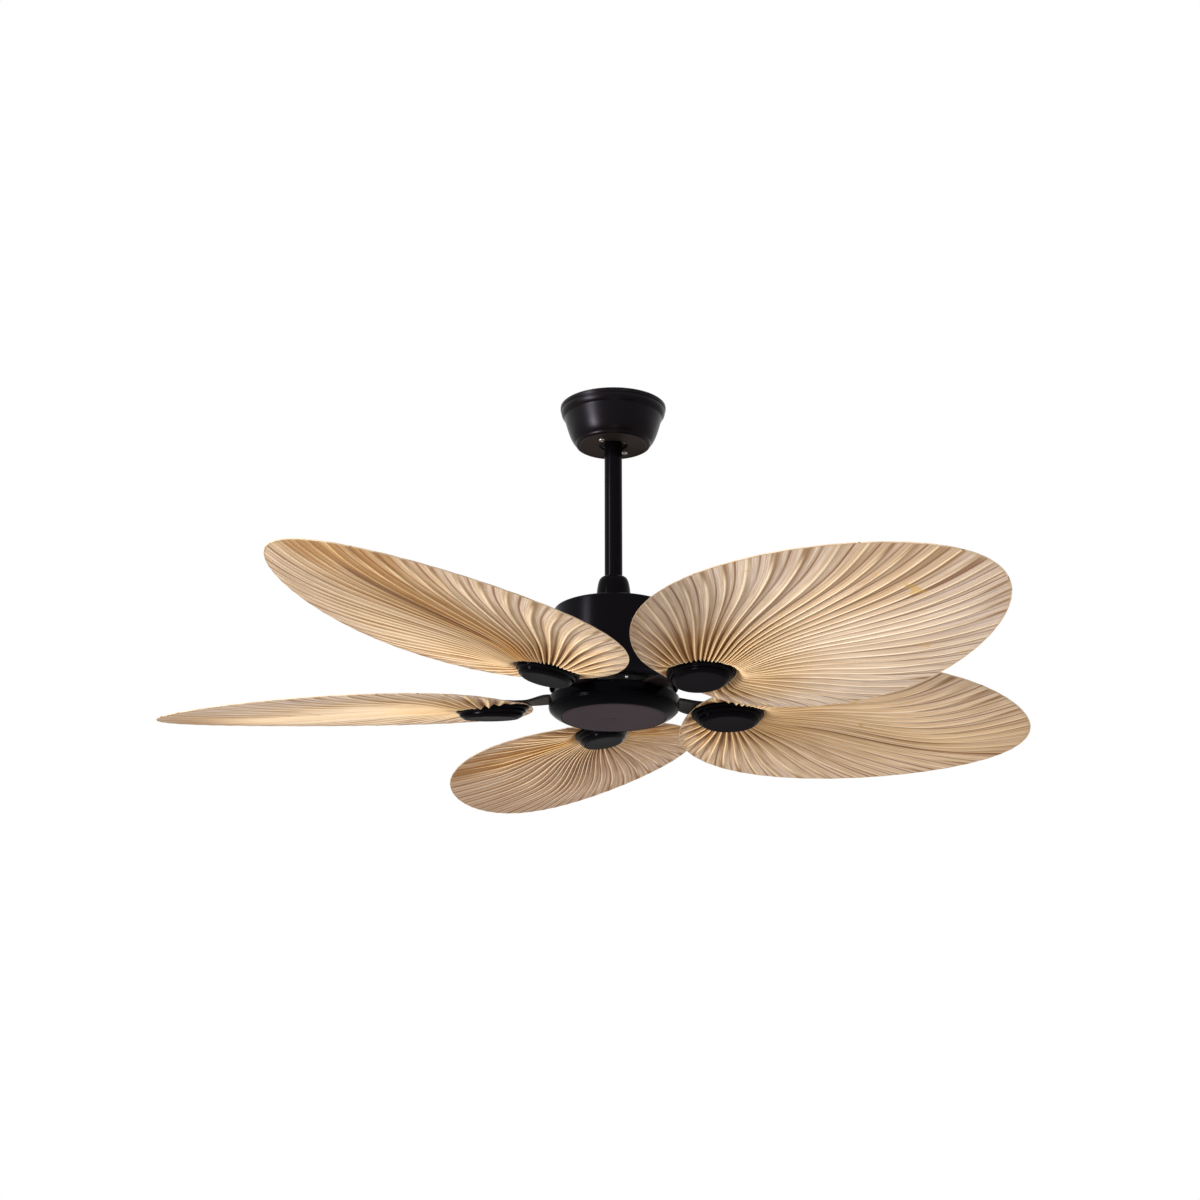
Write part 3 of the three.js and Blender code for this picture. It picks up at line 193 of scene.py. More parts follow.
addCamera(cameraSetup)
addStudio(studio)
bpy.context.scene.view_settings.view_transform = "Standard"
print("camera and studio set")


# ---- shared effects

grainShape = {"peel": (2.0, 0.6), "cloud": (9.0, 4.0, 0.55), "low": 0.3, "high": 0.7}


def makeCoatGrain(shape):
    inputs = [("Grain Size", "Float", 900.0), ("Rough Low", "Float", 0.3), ("Rough High", "Float", 0.4)]
    outputs = [("Roughness", "Float"), ("Height", "Float"), ("Cloud", "Float")]
    group, into, out = newGroup("coatGrain", inputs, outputs)
    where = located(group)
    peel = speckle(group, where, into["Grain Size"], *shape["peel"])
    cloud = speckle(group, where, *shape["cloud"])
    rough = put(group, "MapRange", {0: cloud, 1: shape["low"], 2: shape["high"], 3: into["Rough Low"],
                                    4: into["Rough High"]})
    return answered(group, out, Roughness=rough.outputs[0], Height=peel, Cloud=cloud)


wearShape = {"edge": (0.515, 0.56), "detail": (4.0, 0.6), "patch": (0.48, 0.7)}


def makeEdgeWear(shape):
    inputs = [("Amount", "Float", 0.5), ("Patch Size", "Float", 60.0)]
    group, into, out = newGroup("edgeWear", inputs, [("Mask", "Float")])
    edge = between(group, put(group, "NewGeometry").outputs["Pointiness"], *shape["edge"])
    patch = between(group, speckle(group, located(group), into["Patch Size"], *shape["detail"]),
                    *shape["patch"])
    worn = calc(group, "MULTIPLY", calc(group, "MULTIPLY", edge, patch), into["Amount"])
    return answered(group, out, Mask=worn)


dustShape = {"lying": (0.35, 0.95), "cloud": (26.0, 5.0, 0.65), "soft": (0.35, 0.75, 0.35, 1.0)}


def makeDustFilm(shape):
    group, into, out = newGroup("dustFilm", [("Amount", "Float", 0.3)], [("Mask", "Float")])
    spot = put(group, "TexCoord").outputs
    up = put(group, "SeparateXYZ", {0: spot["Normal"]}).outputs["Z"]
    lying = between(group, up, *shape["lying"])
    soft = between(group, speckle(group, spot["Object"], *shape["cloud"]), *shape["soft"])
    mask = calc(group, "MULTIPLY", calc(group, "MULTIPLY", lying, soft), into["Amount"])
    return answered(group, out, Mask=mask)


coatGrain = makeCoatGrain(grainShape)
edgeWear = makeEdgeWear(wearShape)
dustFilm = makeDustFilm(dustShape)


# ---- finishes

coatRules = {
    "dustTone": (0.3, 0.28, 0.26, 1), "bump": 0.6,
    "facing": {1: -0.9, 2: -0.965, 3: 0.0, 4: 1.0},  # which faces look straight down
}


# Depth is in millimetres.
def surfaced(tree, shader, tone, rough, height, depth, strength=1.0):
    bump = put(tree, "Bump", {"Height": height, "Distance": depth * mm, "Strength": strength})
    tree.links.new(tone, shader.inputs["Base Color"])
    tree.links.new(rough, shader.inputs["Roughness"])
    tree.links.new(bump.outputs[0], shader.inputs["Normal"])


def paintedMetal(name, looks):
    constants = {"Specular IOR Level": looks["gloss"], "Metallic": looks.get("metal", 0.0),
                 "Specular Tint": looks.get("tinge", (1, 1, 1, 1))}
    material, tree, shader = newMaterial(name, constants)
    grain = place(tree, coatGrain, {"Grain Size": looks["grain"], "Rough Low": looks["rough"][0],
                                    "Rough High": looks["rough"][1]}).outputs
    tone = blended(tree, grain["Cloud"], *looks["tones"])
    wear = place(tree, edgeWear, {"Amount": looks["wear"]})
    tone = blended(tree, wear.outputs[0], tone, looks["bare"])
    dust = place(tree, dustFilm, {"Amount": looks["dust"]})
    tone = blended(tree, dust.outputs[0], tone, coatRules["dustTone"])
    rough = grain["Roughness"]
    if "faceRough" in looks:  # flat faces that look down are duller than the turned rims
        down = put(tree, "SeparateXYZ", {0: put(tree, "TexCoord").outputs["Normal"]}).outputs["Z"]
        downFaceDullnessAndReflection = put(tree, "MapRange", {0: down, **coatRules["facing"]}).outputs[0]
        rough = calc(tree, "MAXIMUM", rough, calc(tree, "MULTIPLY", downFaceDullnessAndReflection, looks["faceRough"]))
        # Painted reflection: faces that look down also get a lighter tone, which stands for the pale floor reflected
        # in them.
        tone = blended(tree, downFaceDullnessAndReflection, tone, blended(tree, grain["Cloud"], *looks["downFaceReflectionTones"]))
    surfaced(tree, shader, tone, rough, grain["Height"], looks["relief"], coatRules["bump"])
    return material


# What the black coats share, apart from what one of them states anew.
satinBlack = {
    "bare": (0.03, 0.028, 0.03, 1), "grain": 1100.0, "relief": 0.02, "wear": 0.25, "dust": 0.0,
    "tinge": (0.93, 0.86, 1.0, 1),
}
blackCoat = paintedMetal("satinBlackCoat", {
    **satinBlack, "tones": ((0.0012, 0.0009, 0.0014, 1), (0.002, 0.0016, 0.0023, 1)),
    "gloss": 0.055, "rough": (0.2, 0.26), "relief": 0.03, "wear": 0.3, "dust": 0.02,
})
dimCoat = paintedMetal("dimBlackCoat", {
    **satinBlack, "tones": ((0.0018, 0.0014, 0.0018, 1), (0.0026, 0.0021, 0.0026, 1)),
    "gloss": 0.035, "rough": (0.15, 0.2), "dust": 0.01,
})
bowlCoat = paintedMetal("deepBlackCoat", {
    **satinBlack, "tones": ((0.0006, 0.0005, 0.0008, 1), (0.0011, 0.0009, 0.0013, 1)),
    "gloss": 0.024, "rough": (0.15, 0.2), "wear": 0.2,
})
# Painted reflection: the arms' black paint is made brown and lighter than the other black coats, standing for floor
# light reflected in them.
armReflectionCoat = paintedMetal("armBlackPaintedReflection", {
    "tones": ((0.006, 0.0036, 0.0034, 1), (0.015, 0.0105, 0.0095, 1)), "bare": (0.06, 0.05, 0.045, 1),
    "gloss": 0.045, "rough": (0.3, 0.38), "grain": 900.0, "relief": 0.03, "wear": 0.35, "dust": 0.01,
})
canopyCoat = paintedMetal("satinCanopyCoat", {
    **satinBlack, "tones": ((0.0014, 0.001, 0.0014, 1), (0.0022, 0.0016, 0.002, 1)),
    "gloss": 0.12, "rough": (0.27, 0.33), "relief": 0.03, "wear": 0.3, "tinge": (0.93, 0.84, 1.0, 1),
    # painted reflection: the lighter brown tones of the bottom face stand for the pale floor reflected in it
    "faceRough": 0.6, "downFaceReflectionTones": ((0.01, 0.0062, 0.0048, 1), (0.016, 0.0105, 0.0085, 1)),
})
coverCoat = paintedMetal("satinCoverCoat", {
    **satinBlack, "tones": ((0.001, 0.0008, 0.0012, 1), (0.0018, 0.0015, 0.0021, 1)),
    "gloss": 0.028, "rough": (0.12, 0.17), "tinge": (0.93, 0.84, 1.0, 1),
    # painted reflection: the slightly lighter tones of the bottom faces stand for the floor reflected in them
    "faceRough": 0.5, "downFaceReflectionTones": ((0.0014, 0.0008, 0.0015, 1), (0.0026, 0.0017, 0.0027, 1)),
})
# Painted reflection: the cap's black paint is given a grey-mauve tone that stands for the pale floor reflected in its
# down-facing disc.
capReflectionCoat = paintedMetal("capPaintedReflectionCoat", {
    "tones": ((0.0285, 0.0165, 0.0225, 1), (0.0355, 0.0215, 0.0275, 1)), "bare": (0.1, 0.09, 0.09, 1),
    "gloss": 0.03, "rough": (0.42, 0.5), "grain": 1400.0, "relief": 0.04, "wear": 0.3, "dust": 0.0,
})
zincSteel = paintedMetal("zincPlatedSteel", {
    "tones": ((0.62, 0.6, 0.56, 1), (0.5, 0.49, 0.47, 1)), "bare": (0.75, 0.74, 0.72, 1),
    "gloss": 0.5, "metal": 1.0, "rough": (0.24, 0.36), "grain": 700.0, "relief": 0.03, "wear": 0.2, "dust": 0.02,
})
castMetal = paintedMetal("castAluminium", {
    "tones": ((0.34, 0.34, 0.34, 1), (0.26, 0.26, 0.265, 1)), "bare": (0.55, 0.55, 0.55, 1),
    "gloss": 0.5, "metal": 0.9, "rough": (0.42, 0.6), "grain": 420.0, "relief": 0.12, "wear": 0.4, "dust": 0.04,
})
# Painted shade: the flywheel's cast metal is made near black so that it reads as the shaded recess between the drum
# and the bowl where it sits.
flywheelShadeCast = paintedMetal("flywheelPaintedShade", {
    "tones": ((0.005, 0.0045, 0.005, 1), (0.008, 0.0075, 0.008, 1)), "bare": (0.05, 0.05, 0.05, 1),
    "gloss": 0.06, "rough": (0.35, 0.45), "grain": 420.0, "relief": 0.1, "wear": 0.3, "dust": 0.02,
})
blackPlastic = paintedMetal("mouldedBlackPlastic", {
    "tones": ((0.018, 0.018, 0.018, 1), (0.024, 0.024, 0.025, 1)), "bare": (0.06, 0.06, 0.06, 1),
    "gloss": 0.45, "rough": (0.42, 0.5), "grain": 900.0, "relief": 0.06, "wear": 0.1, "dust": 0.03,
})


windingLooks = {
    "wire": 0.35, "grooveShadeSpan": (0.0, 0.35, 1.0, 0.0), "grooveShadeTone": (0.1, 0.035, 0.015, 1), "cloud": 60.0,
    "tones": ((0.42, 0.17, 0.07, 1), (0.56, 0.26, 0.12, 1)), "rough": (0.5, 0.28), "relief": 0.2,
}


def makeWindings(looks):
    material, tree, shader = newMaterial("enamelledCopper", {"Metallic": 0.75, "Coat Weight": 0.3})
    where = located(tree)
    flat = put(tree, "VectorMath", {0: where, 1: (1, 1, 0)}, operation="MULTIPLY").outputs[0]
    radius = put(tree, "VectorMath", {0: flat}, operation="LENGTH").outputs["Value"]
    strands = calc(tree, "DIVIDE", calc(tree, "PINGPONG", radius, looks["wire"] * mm), looks["wire"] * mm)
    tone = blended(tree, speckle(tree, where, looks["cloud"]), *looks["tones"])
    # painted shade: the grooves between the wire turns are darkened
    tone = blended(tree, between(tree, strands, *looks["grooveShadeSpan"]), tone, looks["grooveShadeTone"])
    surfaced(tree, shader, tone, between(tree, strands, 0.0, 1.0, *looks["rough"]), strands, looks["relief"])
    return material


laminationLooks = {
    "sheet": 0.5, "seams": (0.0, 0.3, 1.0, 0.0), "seamTone": (0.06, 0.06, 0.06, 1), "cloud": (45.0, 5.0, 0.65),
    "rust": (0.52, 0.75), "tones": ((0.28, 0.28, 0.29, 1), (0.2, 0.15, 0.12, 1)), "rough": (0.38, 0.6),
    "relief": 0.15,
}


def makeLamination(looks):
    material, tree, shader = newMaterial("laminatedSteel", {"Metallic": 0.85})
    where = located(tree)
    height = put(tree, "SeparateXYZ", {0: where}).outputs["Z"]
    layers = calc(tree, "DIVIDE", calc(tree, "PINGPONG", height, looks["sheet"] * mm), looks["sheet"] * mm)
    rust = between(tree, speckle(tree, where, *looks["cloud"]), *looks["rust"])
    tone = blended(tree, rust, *looks["tones"])
    tone = blended(tree, between(tree, layers, *looks["seams"]), tone, looks["seamTone"])
    surfaced(tree, shader, tone, between(tree, rust, 0.0, 1.0, *looks["rough"]), layers, looks["relief"])
    return material


copperWire = makeWindings(windingLooks)
laminatedSteel = makeLamination(laminationLooks)
print("metal finishes made")


# ---- modelling helpers

def fresh():
    if bpy.context.object and bpy.context.object.mode != "OBJECT":
        objectMode()
    bpy.ops.object.select_all(action="DESELECT")


def objectMode():
    bpy.ops.object.mode_set(mode="OBJECT")


def editMode(select="SELECT"):
    bpy.ops.object.mode_set(mode="EDIT")
    bpy.ops.mesh.select_all(action=select)


def picked(piece):
    bpy.context.view_layer.objects.active = piece
    piece.select_set(True)


def settle(name):
    piece = bpy.context.object
    piece.name = name
    piece.data.name = name
    bpy.ops.object.transform_apply()
    return piece


def modify(piece, kind, **settings):
    picked(piece)
    modifier = piece.modifiers.new(kind.lower(), kind)
    for name, value in settings.items():
        setattr(modifier, name, value)
    bpy.ops.object.modifier_apply(modifier=modifier.name)


def cleaned(piece, smoothAngle=40, merge=1e-6):
    picked(piece)
    editMode()
    bpy.ops.mesh.remove_doubles(threshold=merge)
    bpy.ops.mesh.normals_make_consistent(inside=False)
    objectMode()
    bpy.ops.object.shade_smooth_by_angle(angle=math.radians(smoothAngle))


poleRadius = 0.01  # stands for the axis while a piece is turned


# A circle extruded ring by ring along a profile of (radius, height).
def turned(name, profile, steps=120, endless=True):
    fresh()
    path = [(max(radius, poleRadius), height) for radius, height in profile]
    path += [path[0]] if endless else []
    radius, height = path[0]
    bpy.ops.mesh.primitive_circle_add(vertices=steps, radius=radius * mm, location=(0, 0, height * mm))
    piece = settle(name)
    editMode()
    for (r0, z0), (r1, z1) in zip(path, path[1:]):
        bpy.ops.mesh.extrude_region_move(TRANSFORM_OT_translate={"value": (0, 0, (z1 - z0) * mm)})
        bpy.ops.transform.resize(value=(r1 / r0, r1 / r0, 1), center_override=(0, 0, z1 * mm))
    objectMode()
    for vertex in piece.data.vertices:  # a ring at the axis becomes its pole
        if math.hypot(vertex.co.x, vertex.co.y) < 2 * poleRadius * mm:
            vertex.co.x = vertex.co.y = 0.0
    return piece


# Rounds the corners of a profile: each point is (radius, height) or (radius, height, rounding).
def rounded(points, pieces=4, endless=True, reach=0.48):
    made = []
    count = len(points)
    for i, point in enumerate(points):
        here = Vector(point[:2])
        size = point[2] if len(point) > 2 else 0
        if not size or (not endless and i in (0, count - 1)):
            made.append(tuple(here))
            continue
        before = Vector(points[i - 1][:2]) - here
        after = Vector(points[(i + 1) % count][:2]) - here
        size = min(size, before.length * reach, after.length * reach)
        start, end = here + before.normalized() * size, here + after.normalized() * size
        for step in range(pieces + 1):
            t = step / pieces
            made.append(tuple(start * (1 - t) ** 2 + here * 2 * t * (1 - t) + end * t ** 2))
    return made


def copied(piece, name, matrix):
    twin = piece.copy()
    twin.data = piece.data.copy()
    twin.name = name
    twin.data.name = name
    bpy.context.collection.objects.link(twin)
    twin.data.transform(matrix)
    return twin


def finished(piece, material, body, slot, *nodes):
    piece.data.materials.clear()
    piece.data.materials.append(material)
    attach(piece, body)
    if nodes:
        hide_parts(*nodes)


def turnedPiece(name, profile, steps, coat, node, body="hanging_frame", slot="black_metal", endless=True):
    piece = turned(name, profile, steps, endless)
    cleaned(piece)
    finished(piece, coat, body, slot, node)


def shifted(points, out, up):
    return [(r + out, z + up, *rest) for r, z, *rest in points]


# ---- canopy, rod and coupling cover

canopyShape = {
    "outside": [
        (71.3, -0.6), (72.2, -1.4), (72.2, -5.0), (71.9, -5.9), (71.0, -6.7), (70.85, -7.4), (71.15, -8.2),
        (71.0, -10.0), (70.3, -12.3), (69.1, -14.4), (67.9, -15.9), (66.9, -16.9), (66.45, -17.8), (66.1, -19.2),
        (65.3, -22.2), (64.2, -26.0), (62.9, -30.5), (61.2, -36.0), (59.2, -41.6), (57.2, -46.2), (55.2, -49.8),
        (53.2, -52.5), (52.0, -53.7), (51.4, -54.5), (51.2, -55.4), (50.3, -56.9), (48.8, -57.8), (47.0, -58.0),
        (45.6, -57.9), (45.0, -57.5), (44.4, -57.4),
    ],
    "mouth": [(2.2, 0.0), (0.66, 0.15), (0.0, 1.1), (0.0, 2.4), (1.4, 2.4), (3.0, 1.5)],  # from the hole's edge
    "hole": 19.2, "face": -57.4, "wall": 1.5, "innerFace": 44.0, "innerEdge": 44.6, "bottomFrom": -50.0,
}


def makeCanopy(shape):
    wall = shape["wall"]
    inner = [(r - wall, z + (wall if z < shape["bottomFrom"] else 0.0)) for r, z in shape["outside"]]
    profile = shape["outside"] + shifted(shape["mouth"], shape["hole"], shape["face"])
    profile += [(shape["innerFace"], shape["face"] + wall)]
    profile += [point for point in reversed(inner) if point[0] > shape["innerEdge"]]
    turnedPiece("canopy_shell", profile, 144, canopyCoat, "canopy", "ceiling_mount")


rodShape = {"radius": 12.0, "bore": 10.0, "top": -18.0, "foot": -283.7, "round": 0.8, "boreRound": 0.4}


def makeRod(shape):
    top, foot = shape["top"], shape["foot"]
    points = [(shape["radius"], top, shape["round"]), (shape["radius"], foot, shape["round"]),
              (shape["bore"], foot, shape["boreRound"]), (shape["bore"], top, shape["boreRound"])]
    turnedPiece("hanging_rod", rounded(points), 64, dimCoat, "downrod")


couplingShape = {
    "outside": [
        (13.6, -247.3, 0.4), (15.9, -247.8), (17.8, -249.1), (19.2, -251.2), (20.3, -254.2), (21.2, -258.2),
        (22.0, -263.2), (22.7, -269.0), (23.3, -275.0), (23.8, -281.0), (24.1, -287.0), (24.3, -291.2),
        (24.5, -292.0, 0.4), (24.5, -293.1, 0.3),
    ],
    "wall": 1.2, "crown": [(12.3, -248.7, 0.3), (12.3, -247.3, 0.3)],
}


def makeCouplingCover(shape):
    outside = shape["outside"]
    inside = [(point[0] - shape["wall"], point[1]) for point in reversed(outside[1:])]
    turnedPiece("coupling_bell", rounded(outside + inside + shape["crown"], 3), 80, dimCoat, "coupling_cover")


makeCanopy(canopyShape)
makeRod(rodShape)
makeCouplingCover(couplingShape)


# ---- motor housing, lower housing and cap

drumShape = {
    "topHeight": -293.4, "footHeight": -403.0, "topRadius": 80.0, "footRadius": 85.4, "mouth": 18.4,
    "corner": 3.2, "wall": 2.0, "lip": 1.6, "lipSlope": 0.4, "slope": 0.8,
    "crownIn": 8.2, "crownHigh": 0.35, "collarOut": 0.55, "collarHigh": 5.2,
}


def makeDrum(shape):
    top, foot, wall, slope = shape["topHeight"], shape["footHeight"], shape["wall"], shape["slope"]
    wide, narrow, mouth = shape["footRadius"], shape["topRadius"], shape["mouth"]
    crown, shoulder, lip = narrow - shape["crownIn"], top - shape["crownHigh"], wide - shape["lip"]
    points = [
        (mouth, top, 0.4), (crown - slope, top, 0.6), (crown, shoulder, 0.6), (narrow, shoulder, shape["corner"]),
        (wide - shape["collarOut"], foot + shape["collarHigh"] + slope, 0.6), (wide, foot + shape["collarHigh"], 0.6),
        (wide, foot, 0.9), (lip, foot, 0.5), (lip - shape["lipSlope"], foot + wall, 0.3),
        (narrow - wall, shoulder - wall, 2.0), (mouth, top - wall, 0.4),
    ]
    turnedPiece("motor_drum", rounded(points, 5), 160, blackCoat, "motor_housing")


bowlShape = {
    "radius": 86.3, "topHeight": -416.0, "mouth": 69.2, "bottom": -442.6,
    "outside": [  # from the rim
        (-1.6, 0.0, 0.5), (0.0, -0.2, 1.2), (0.0, -13.6, 0.9), (-0.9, -14.5, 0.5), (-0.9, -16.3, 0.8),
        (-2.2, -17.6, 1.0), (-5.2, -20.4, 3.0), (-10.8, -23.9, 4.0),
    ],
    "capSeat": [(0.9, 0.15, 0.9), (0.0, 0.3, 0.3), (0.0, 2.3, 0.2), (-3.0, 2.3, 0.2), (-3.0, 4.1, 0.2)],
    "inside": [(-11.0, -19.0, 2.0), (-4.8, -13.8, 0.6), (-4.8, -6.4, 0.2), (-1.8, -6.4, 0.2), (-1.8, 0.0, 0.3)],
}


def makeBowl(shape):
    rim = shape["radius"], shape["topHeight"]
    points = shifted(shape["outside"], *rim) + shifted(shape["capSeat"], shape["mouth"], shape["bottom"])
    profile = rounded(points + shifted(shape["inside"], *rim), 4)
    turnedPiece("lower_bowl", profile, 160, bowlCoat, "switch_housing")


capShape = {
    "radius": 68.9, "bottom": -442.6, "thick": 2.0, "edge": 1.6, "edgeHigh": 0.75,
    "middle": [(0.0, 0.55), (1.6, 0.5), (3.2, 0.08), (4.2, 0.0), (30.0, 0.0), (55.0, 0.0)],  # with its small dimple
}


def makeCap(shape):
    bottom, radius = shape["bottom"], shape["radius"]
    points = shifted(shape["middle"], 0.0, bottom) + [
        (radius - shape["edge"], bottom, 0.6), (radius, bottom + shape["edgeHigh"], 0.6),
        (radius, bottom + shape["thick"], 0.3), (0.0, bottom + shape["thick"]),
    ]
    turnedPiece("cap_disc", rounded(points, 4, endless=False), 144, capReflectionCoat, "cap_plate", slot="satin_cap",
                endless=False)


makeDrum(drumShape)
makeBowl(bowlShape)
makeCap(capShape)
print("canopy, rod and housings made")


# ---- blades: frames, arms and covers

bladeSeat = {"height": -421.0, "ovalCentre": 167.5, "leafStart": 114.7}

# Bows: how far the ribs of each half curve. Cuff: where the leaf bends down round its cover, and how far.
leafHead = ("azimuth", "length", "half", "pitch", "lift", "turn", "aside", "bows", "belly", "cuff")
leaves = [dict(zip(leafHead, row)) for row in (
    (-48.2, 543.0, 178.3, 11.1, 2.3, -1.2, 1.3, (0.035, 0.045), 5.0, (-44.0, 6.5)),
    (23.8, 518.0, 184.3, 9.1, 1.4, 0.5, 0.8, (0.15, 0.02), 3.0, (-117.0, 5.0)),
    (95.8, 558.0, 172.7, 7.8, 1.7, 7.6, 5.0, (-0.02, -0.11), 2.0, (174.0, 1.0)),
    (167.8, 531.0, 172.4, 8.0, 1.7, -1.8, 2.4, (-0.04, -0.15), 2.0, (105.0, 5.0)),
    (239.8, 580.0, 173.4, 8.2, 1.8, 0.7, -1.9, (-0.09, -0.032), 1.5, (31.0, 5.5)),
)]


def smoothstep(value, low, high):
    t = min(max((value - low) / (high - low), 0.0), 1.0)
    return t * t * (3 - 2 * t)


def lerp(a, b, t):
    return a + (b - a) * t


def azimuthFrame(leaf):
    lifted = Matrix.Translation(Vector((0, 0, bladeSeat["height"] * mm)))
    return lifted @ Matrix.Rotation(math.radians(leaf["azimuth"]), 4, "Z")


def tiltFrame(leaf):
    return Matrix.Rotation(-math.radians(leaf["lift"]), 4, "Y") @ Matrix.Rotation(-math.radians(leaf["pitch"]), 4, "X")


def leafFrame(leaf):
    return azimuthFrame(leaf) @ tiltFrame(leaf)


armShape = {
    "root": 56.4, "level": 87.4, "rootHeight": 9.35, "plateHeight": 2.65, "thick": 3.5, "edge": 0.8,
    "rootWidth": 30.0, "width": 38.0, "plateLength": 96.0, "plateWidth": 58.0, "tip": 4.0,
    "stations": 56, "strips": 10, "stripShare": 0.42, "bevelAngle": 50.0,
}


def armHalfWidth(along, shape):
    widening = min((along - shape["root"]) / (shape["level"] - shape["root"]), 1.0)
    strip = lerp(shape["rootWidth"], shape["width"], widening) / 2
    share = (along - bladeSeat["ovalCentre"]) / (shape["plateLength"] / 2)
    oval = shape["plateWidth"] / 2 * math.sqrt(1 - share ** 2) if abs(share) < 1 else 0.0
    return max(oval, strip if along < bladeSeat["ovalCentre"] else shape["tip"])


def makeArm(leaf, number, shape):
    fresh()
    stations, strips = shape["stations"], shape["strips"]
    bpy.ops.mesh.primitive_grid_add(x_subdivisions=stations, y_subdivisions=strips, size=1)
    piece = settle("blade_arm_%d" % number)
    plateStart = bladeSeat["ovalCentre"] - shape["plateLength"] / 2
    plateEnd = bladeSeat["ovalCentre"] + shape["plateLength"] / 2
    tilt, stripShare = tiltFrame(leaf), shape["stripShare"]
    for vertex in piece.data.vertices:
        u, v = vertex.co.x + 0.5, 2 * vertex.co.y
        if u < stripShare:
            along = lerp(shape["root"], plateStart, u / stripShare)
        else:
            share = (u - stripShare) / (1 - stripShare)
            along = lerp(plateStart, plateEnd, (1 - math.cos(math.pi * share)) / 2)
        across = armHalfWidth(along, shape) * v
        flat = Vector((along, across, shape["rootHeight"]))
        onPlate = tilt @ Vector((along, across, shape["plateHeight"]))
        vertex.co = flat.lerp(onPlate, smoothstep(along, shape["level"], plateStart)) * mm
    piece.data.transform(azimuthFrame(leaf))
    modify(piece, "SOLIDIFY", thickness=shape["thick"] * mm, offset=0.0, use_even_offset=True)
    modify(piece, "BEVEL", width=shape["edge"] * mm, segments=3, limit_method="ANGLE",
           angle_limit=math.radians(shape["bevelAngle"]))
    cleaned(piece)
    finished(piece, armReflectionCoat, "rotor", "black_metal", "blade_iron_%d" % number)


coverShape = {
    "length": 103.6, "width": 75.4, "top": -0.9,
    "tiers": [  # share of the half length, depth below the top, rounding
        (0.985, 0.0, 0.3), (1.0, -0.5, 0.5), (1.0, -3.2, 1.2), (0.93, -4.1, 0.6), (0.918, -5.0, 0.5),
        (0.918, -8.0, 1.2), (0.85, -9.2, 0.6), (0.838, -10.2, 0.5), (0.83, -13.0, 1.3), (0.75, -15.4, 1.8),
        (0.7, -16.5, 1.8), (0.5, -16.3), (0.25, -16.05), (0.0, -16.0),
    ],
    "hollow": 13.9, "hollowShare": 0.66, "mouthShare": 0.93, "brimShare": 0.9, "slack": 0.01,
}


def makeCovers(shape):
    half = shape["length"] / 2
    points = [(share * half, shape["top"] + depth, *rest) for share, depth, *rest in shape["tiers"]]
    roof = shape["top"] - shape["hollow"]
    inside = [(0.0, roof), (shape["hollowShare"] * half, roof, 1.0), (shape["mouthShare"] * half, shape["top"], 0.3)]
    pattern = turned("leaf_medallion", rounded(points + inside, 4, endless=False), 144, endless=False)
    editMode("DESELECT")
    objectMode()
    for vertex in pattern.data.vertices:  # the first and last rings meet
        radius = math.hypot(vertex.co.x, vertex.co.y)
        onTop = vertex.co.z > (shape["top"] - shape["slack"]) * mm
        vertex.select = onTop and radius > shape["brimShare"] * half * mm
    bpy.ops.object.mode_set(mode="EDIT")
    bpy.ops.mesh.bridge_edge_loops()
    objectMode()
    pattern.data.transform(Matrix.Diagonal((1, shape["width"] / shape["length"], 1, 1)))
    cleaned(pattern)
    for number, leaf in enumerate(leaves, 1):
        seat = leafFrame(leaf) @ Matrix.Translation(Vector((bladeSeat["ovalCentre"] * mm, 0, 0)))
        twin = copied(pattern, "leaf_medallion_%d" % number, seat)
        finished(twin, coverCoat, "rotor", "black_metal", "leaf_cover_%d" % number)
    bpy.data.objects.remove(pattern)


for number, leaf in enumerate(leaves, 1):
    makeArm(leaf, number, armShape)
makeCovers(coverShape)
print("arms and covers made")


# ---- palm leaves

# Lengths in mm, headings in radians.
pleatShape = {
    "count": 45, "columns": 10, "heartRows": 3, "rows": 46,
    "phases": [0.0, 0.035, 0.075, 0.13, 0.28, 0.46, 0.54, 0.72, 0.9, 0.96],
    "fold": [(0.0, 2.2), (0.1, 2.4), (0.35, 2.3), (0.62, 1.9), (0.85, 0.8), (1.0, 0.16)],  # half depth along a rib
    "rib": [(0.0, 0.3), (0.2, 0.5), (0.6, 0.65), (0.9, 0.45), (1.0, 0.1)],
    "thick": 0.9, "wasp": 0.21, "sweep": -3.6, "droop": 5.0, "twist": 2.0,
    "heartMargin": 1.5, "heartLimit": 0.97,
    "uneven": 0.14, "variety": 0.2, "full": 70.0, "backBow": 0.028, "bellyStart": 12.0, "bellyEnd": 130.0,
    "settle": 60.0, "wander": 0.1, "rimRadius": 0.62, "rimInset": 1.25, "spring": 5.0, "cuffRise": 4.0,
    "cuffEnd": 70.0, "spreadUnit": 600.0, "heartShare": 0.08, "rowPower": 1.12, "ribWidth": 0.06,
    "cuffSide": (-0.1, 0.7), "sideTurn": 0.25, "frontEnd": (0.8, 1.3), "backStart": (1.3, 1.9), "bowPower": 1.7,
    "wanderScale": (3.1, 2.2, 7.0), "unevenBeat": (7.3, 2.1), "varietyBeat": (5.1, 1.7), "smooth": 50.0,
}


def along(table, value):
    for (x0, y0), (x1, y1) in zip(table, table[1:]):
        if value <= x1:
            return lerp(y0, y1, smoothstep(value, x0, x1))
    return table[-1][1]


def ovalReach(angle, cover):
    return 0.5 / math.hypot(math.cos(angle) / cover["length"], math.sin(angle) / cover["width"])


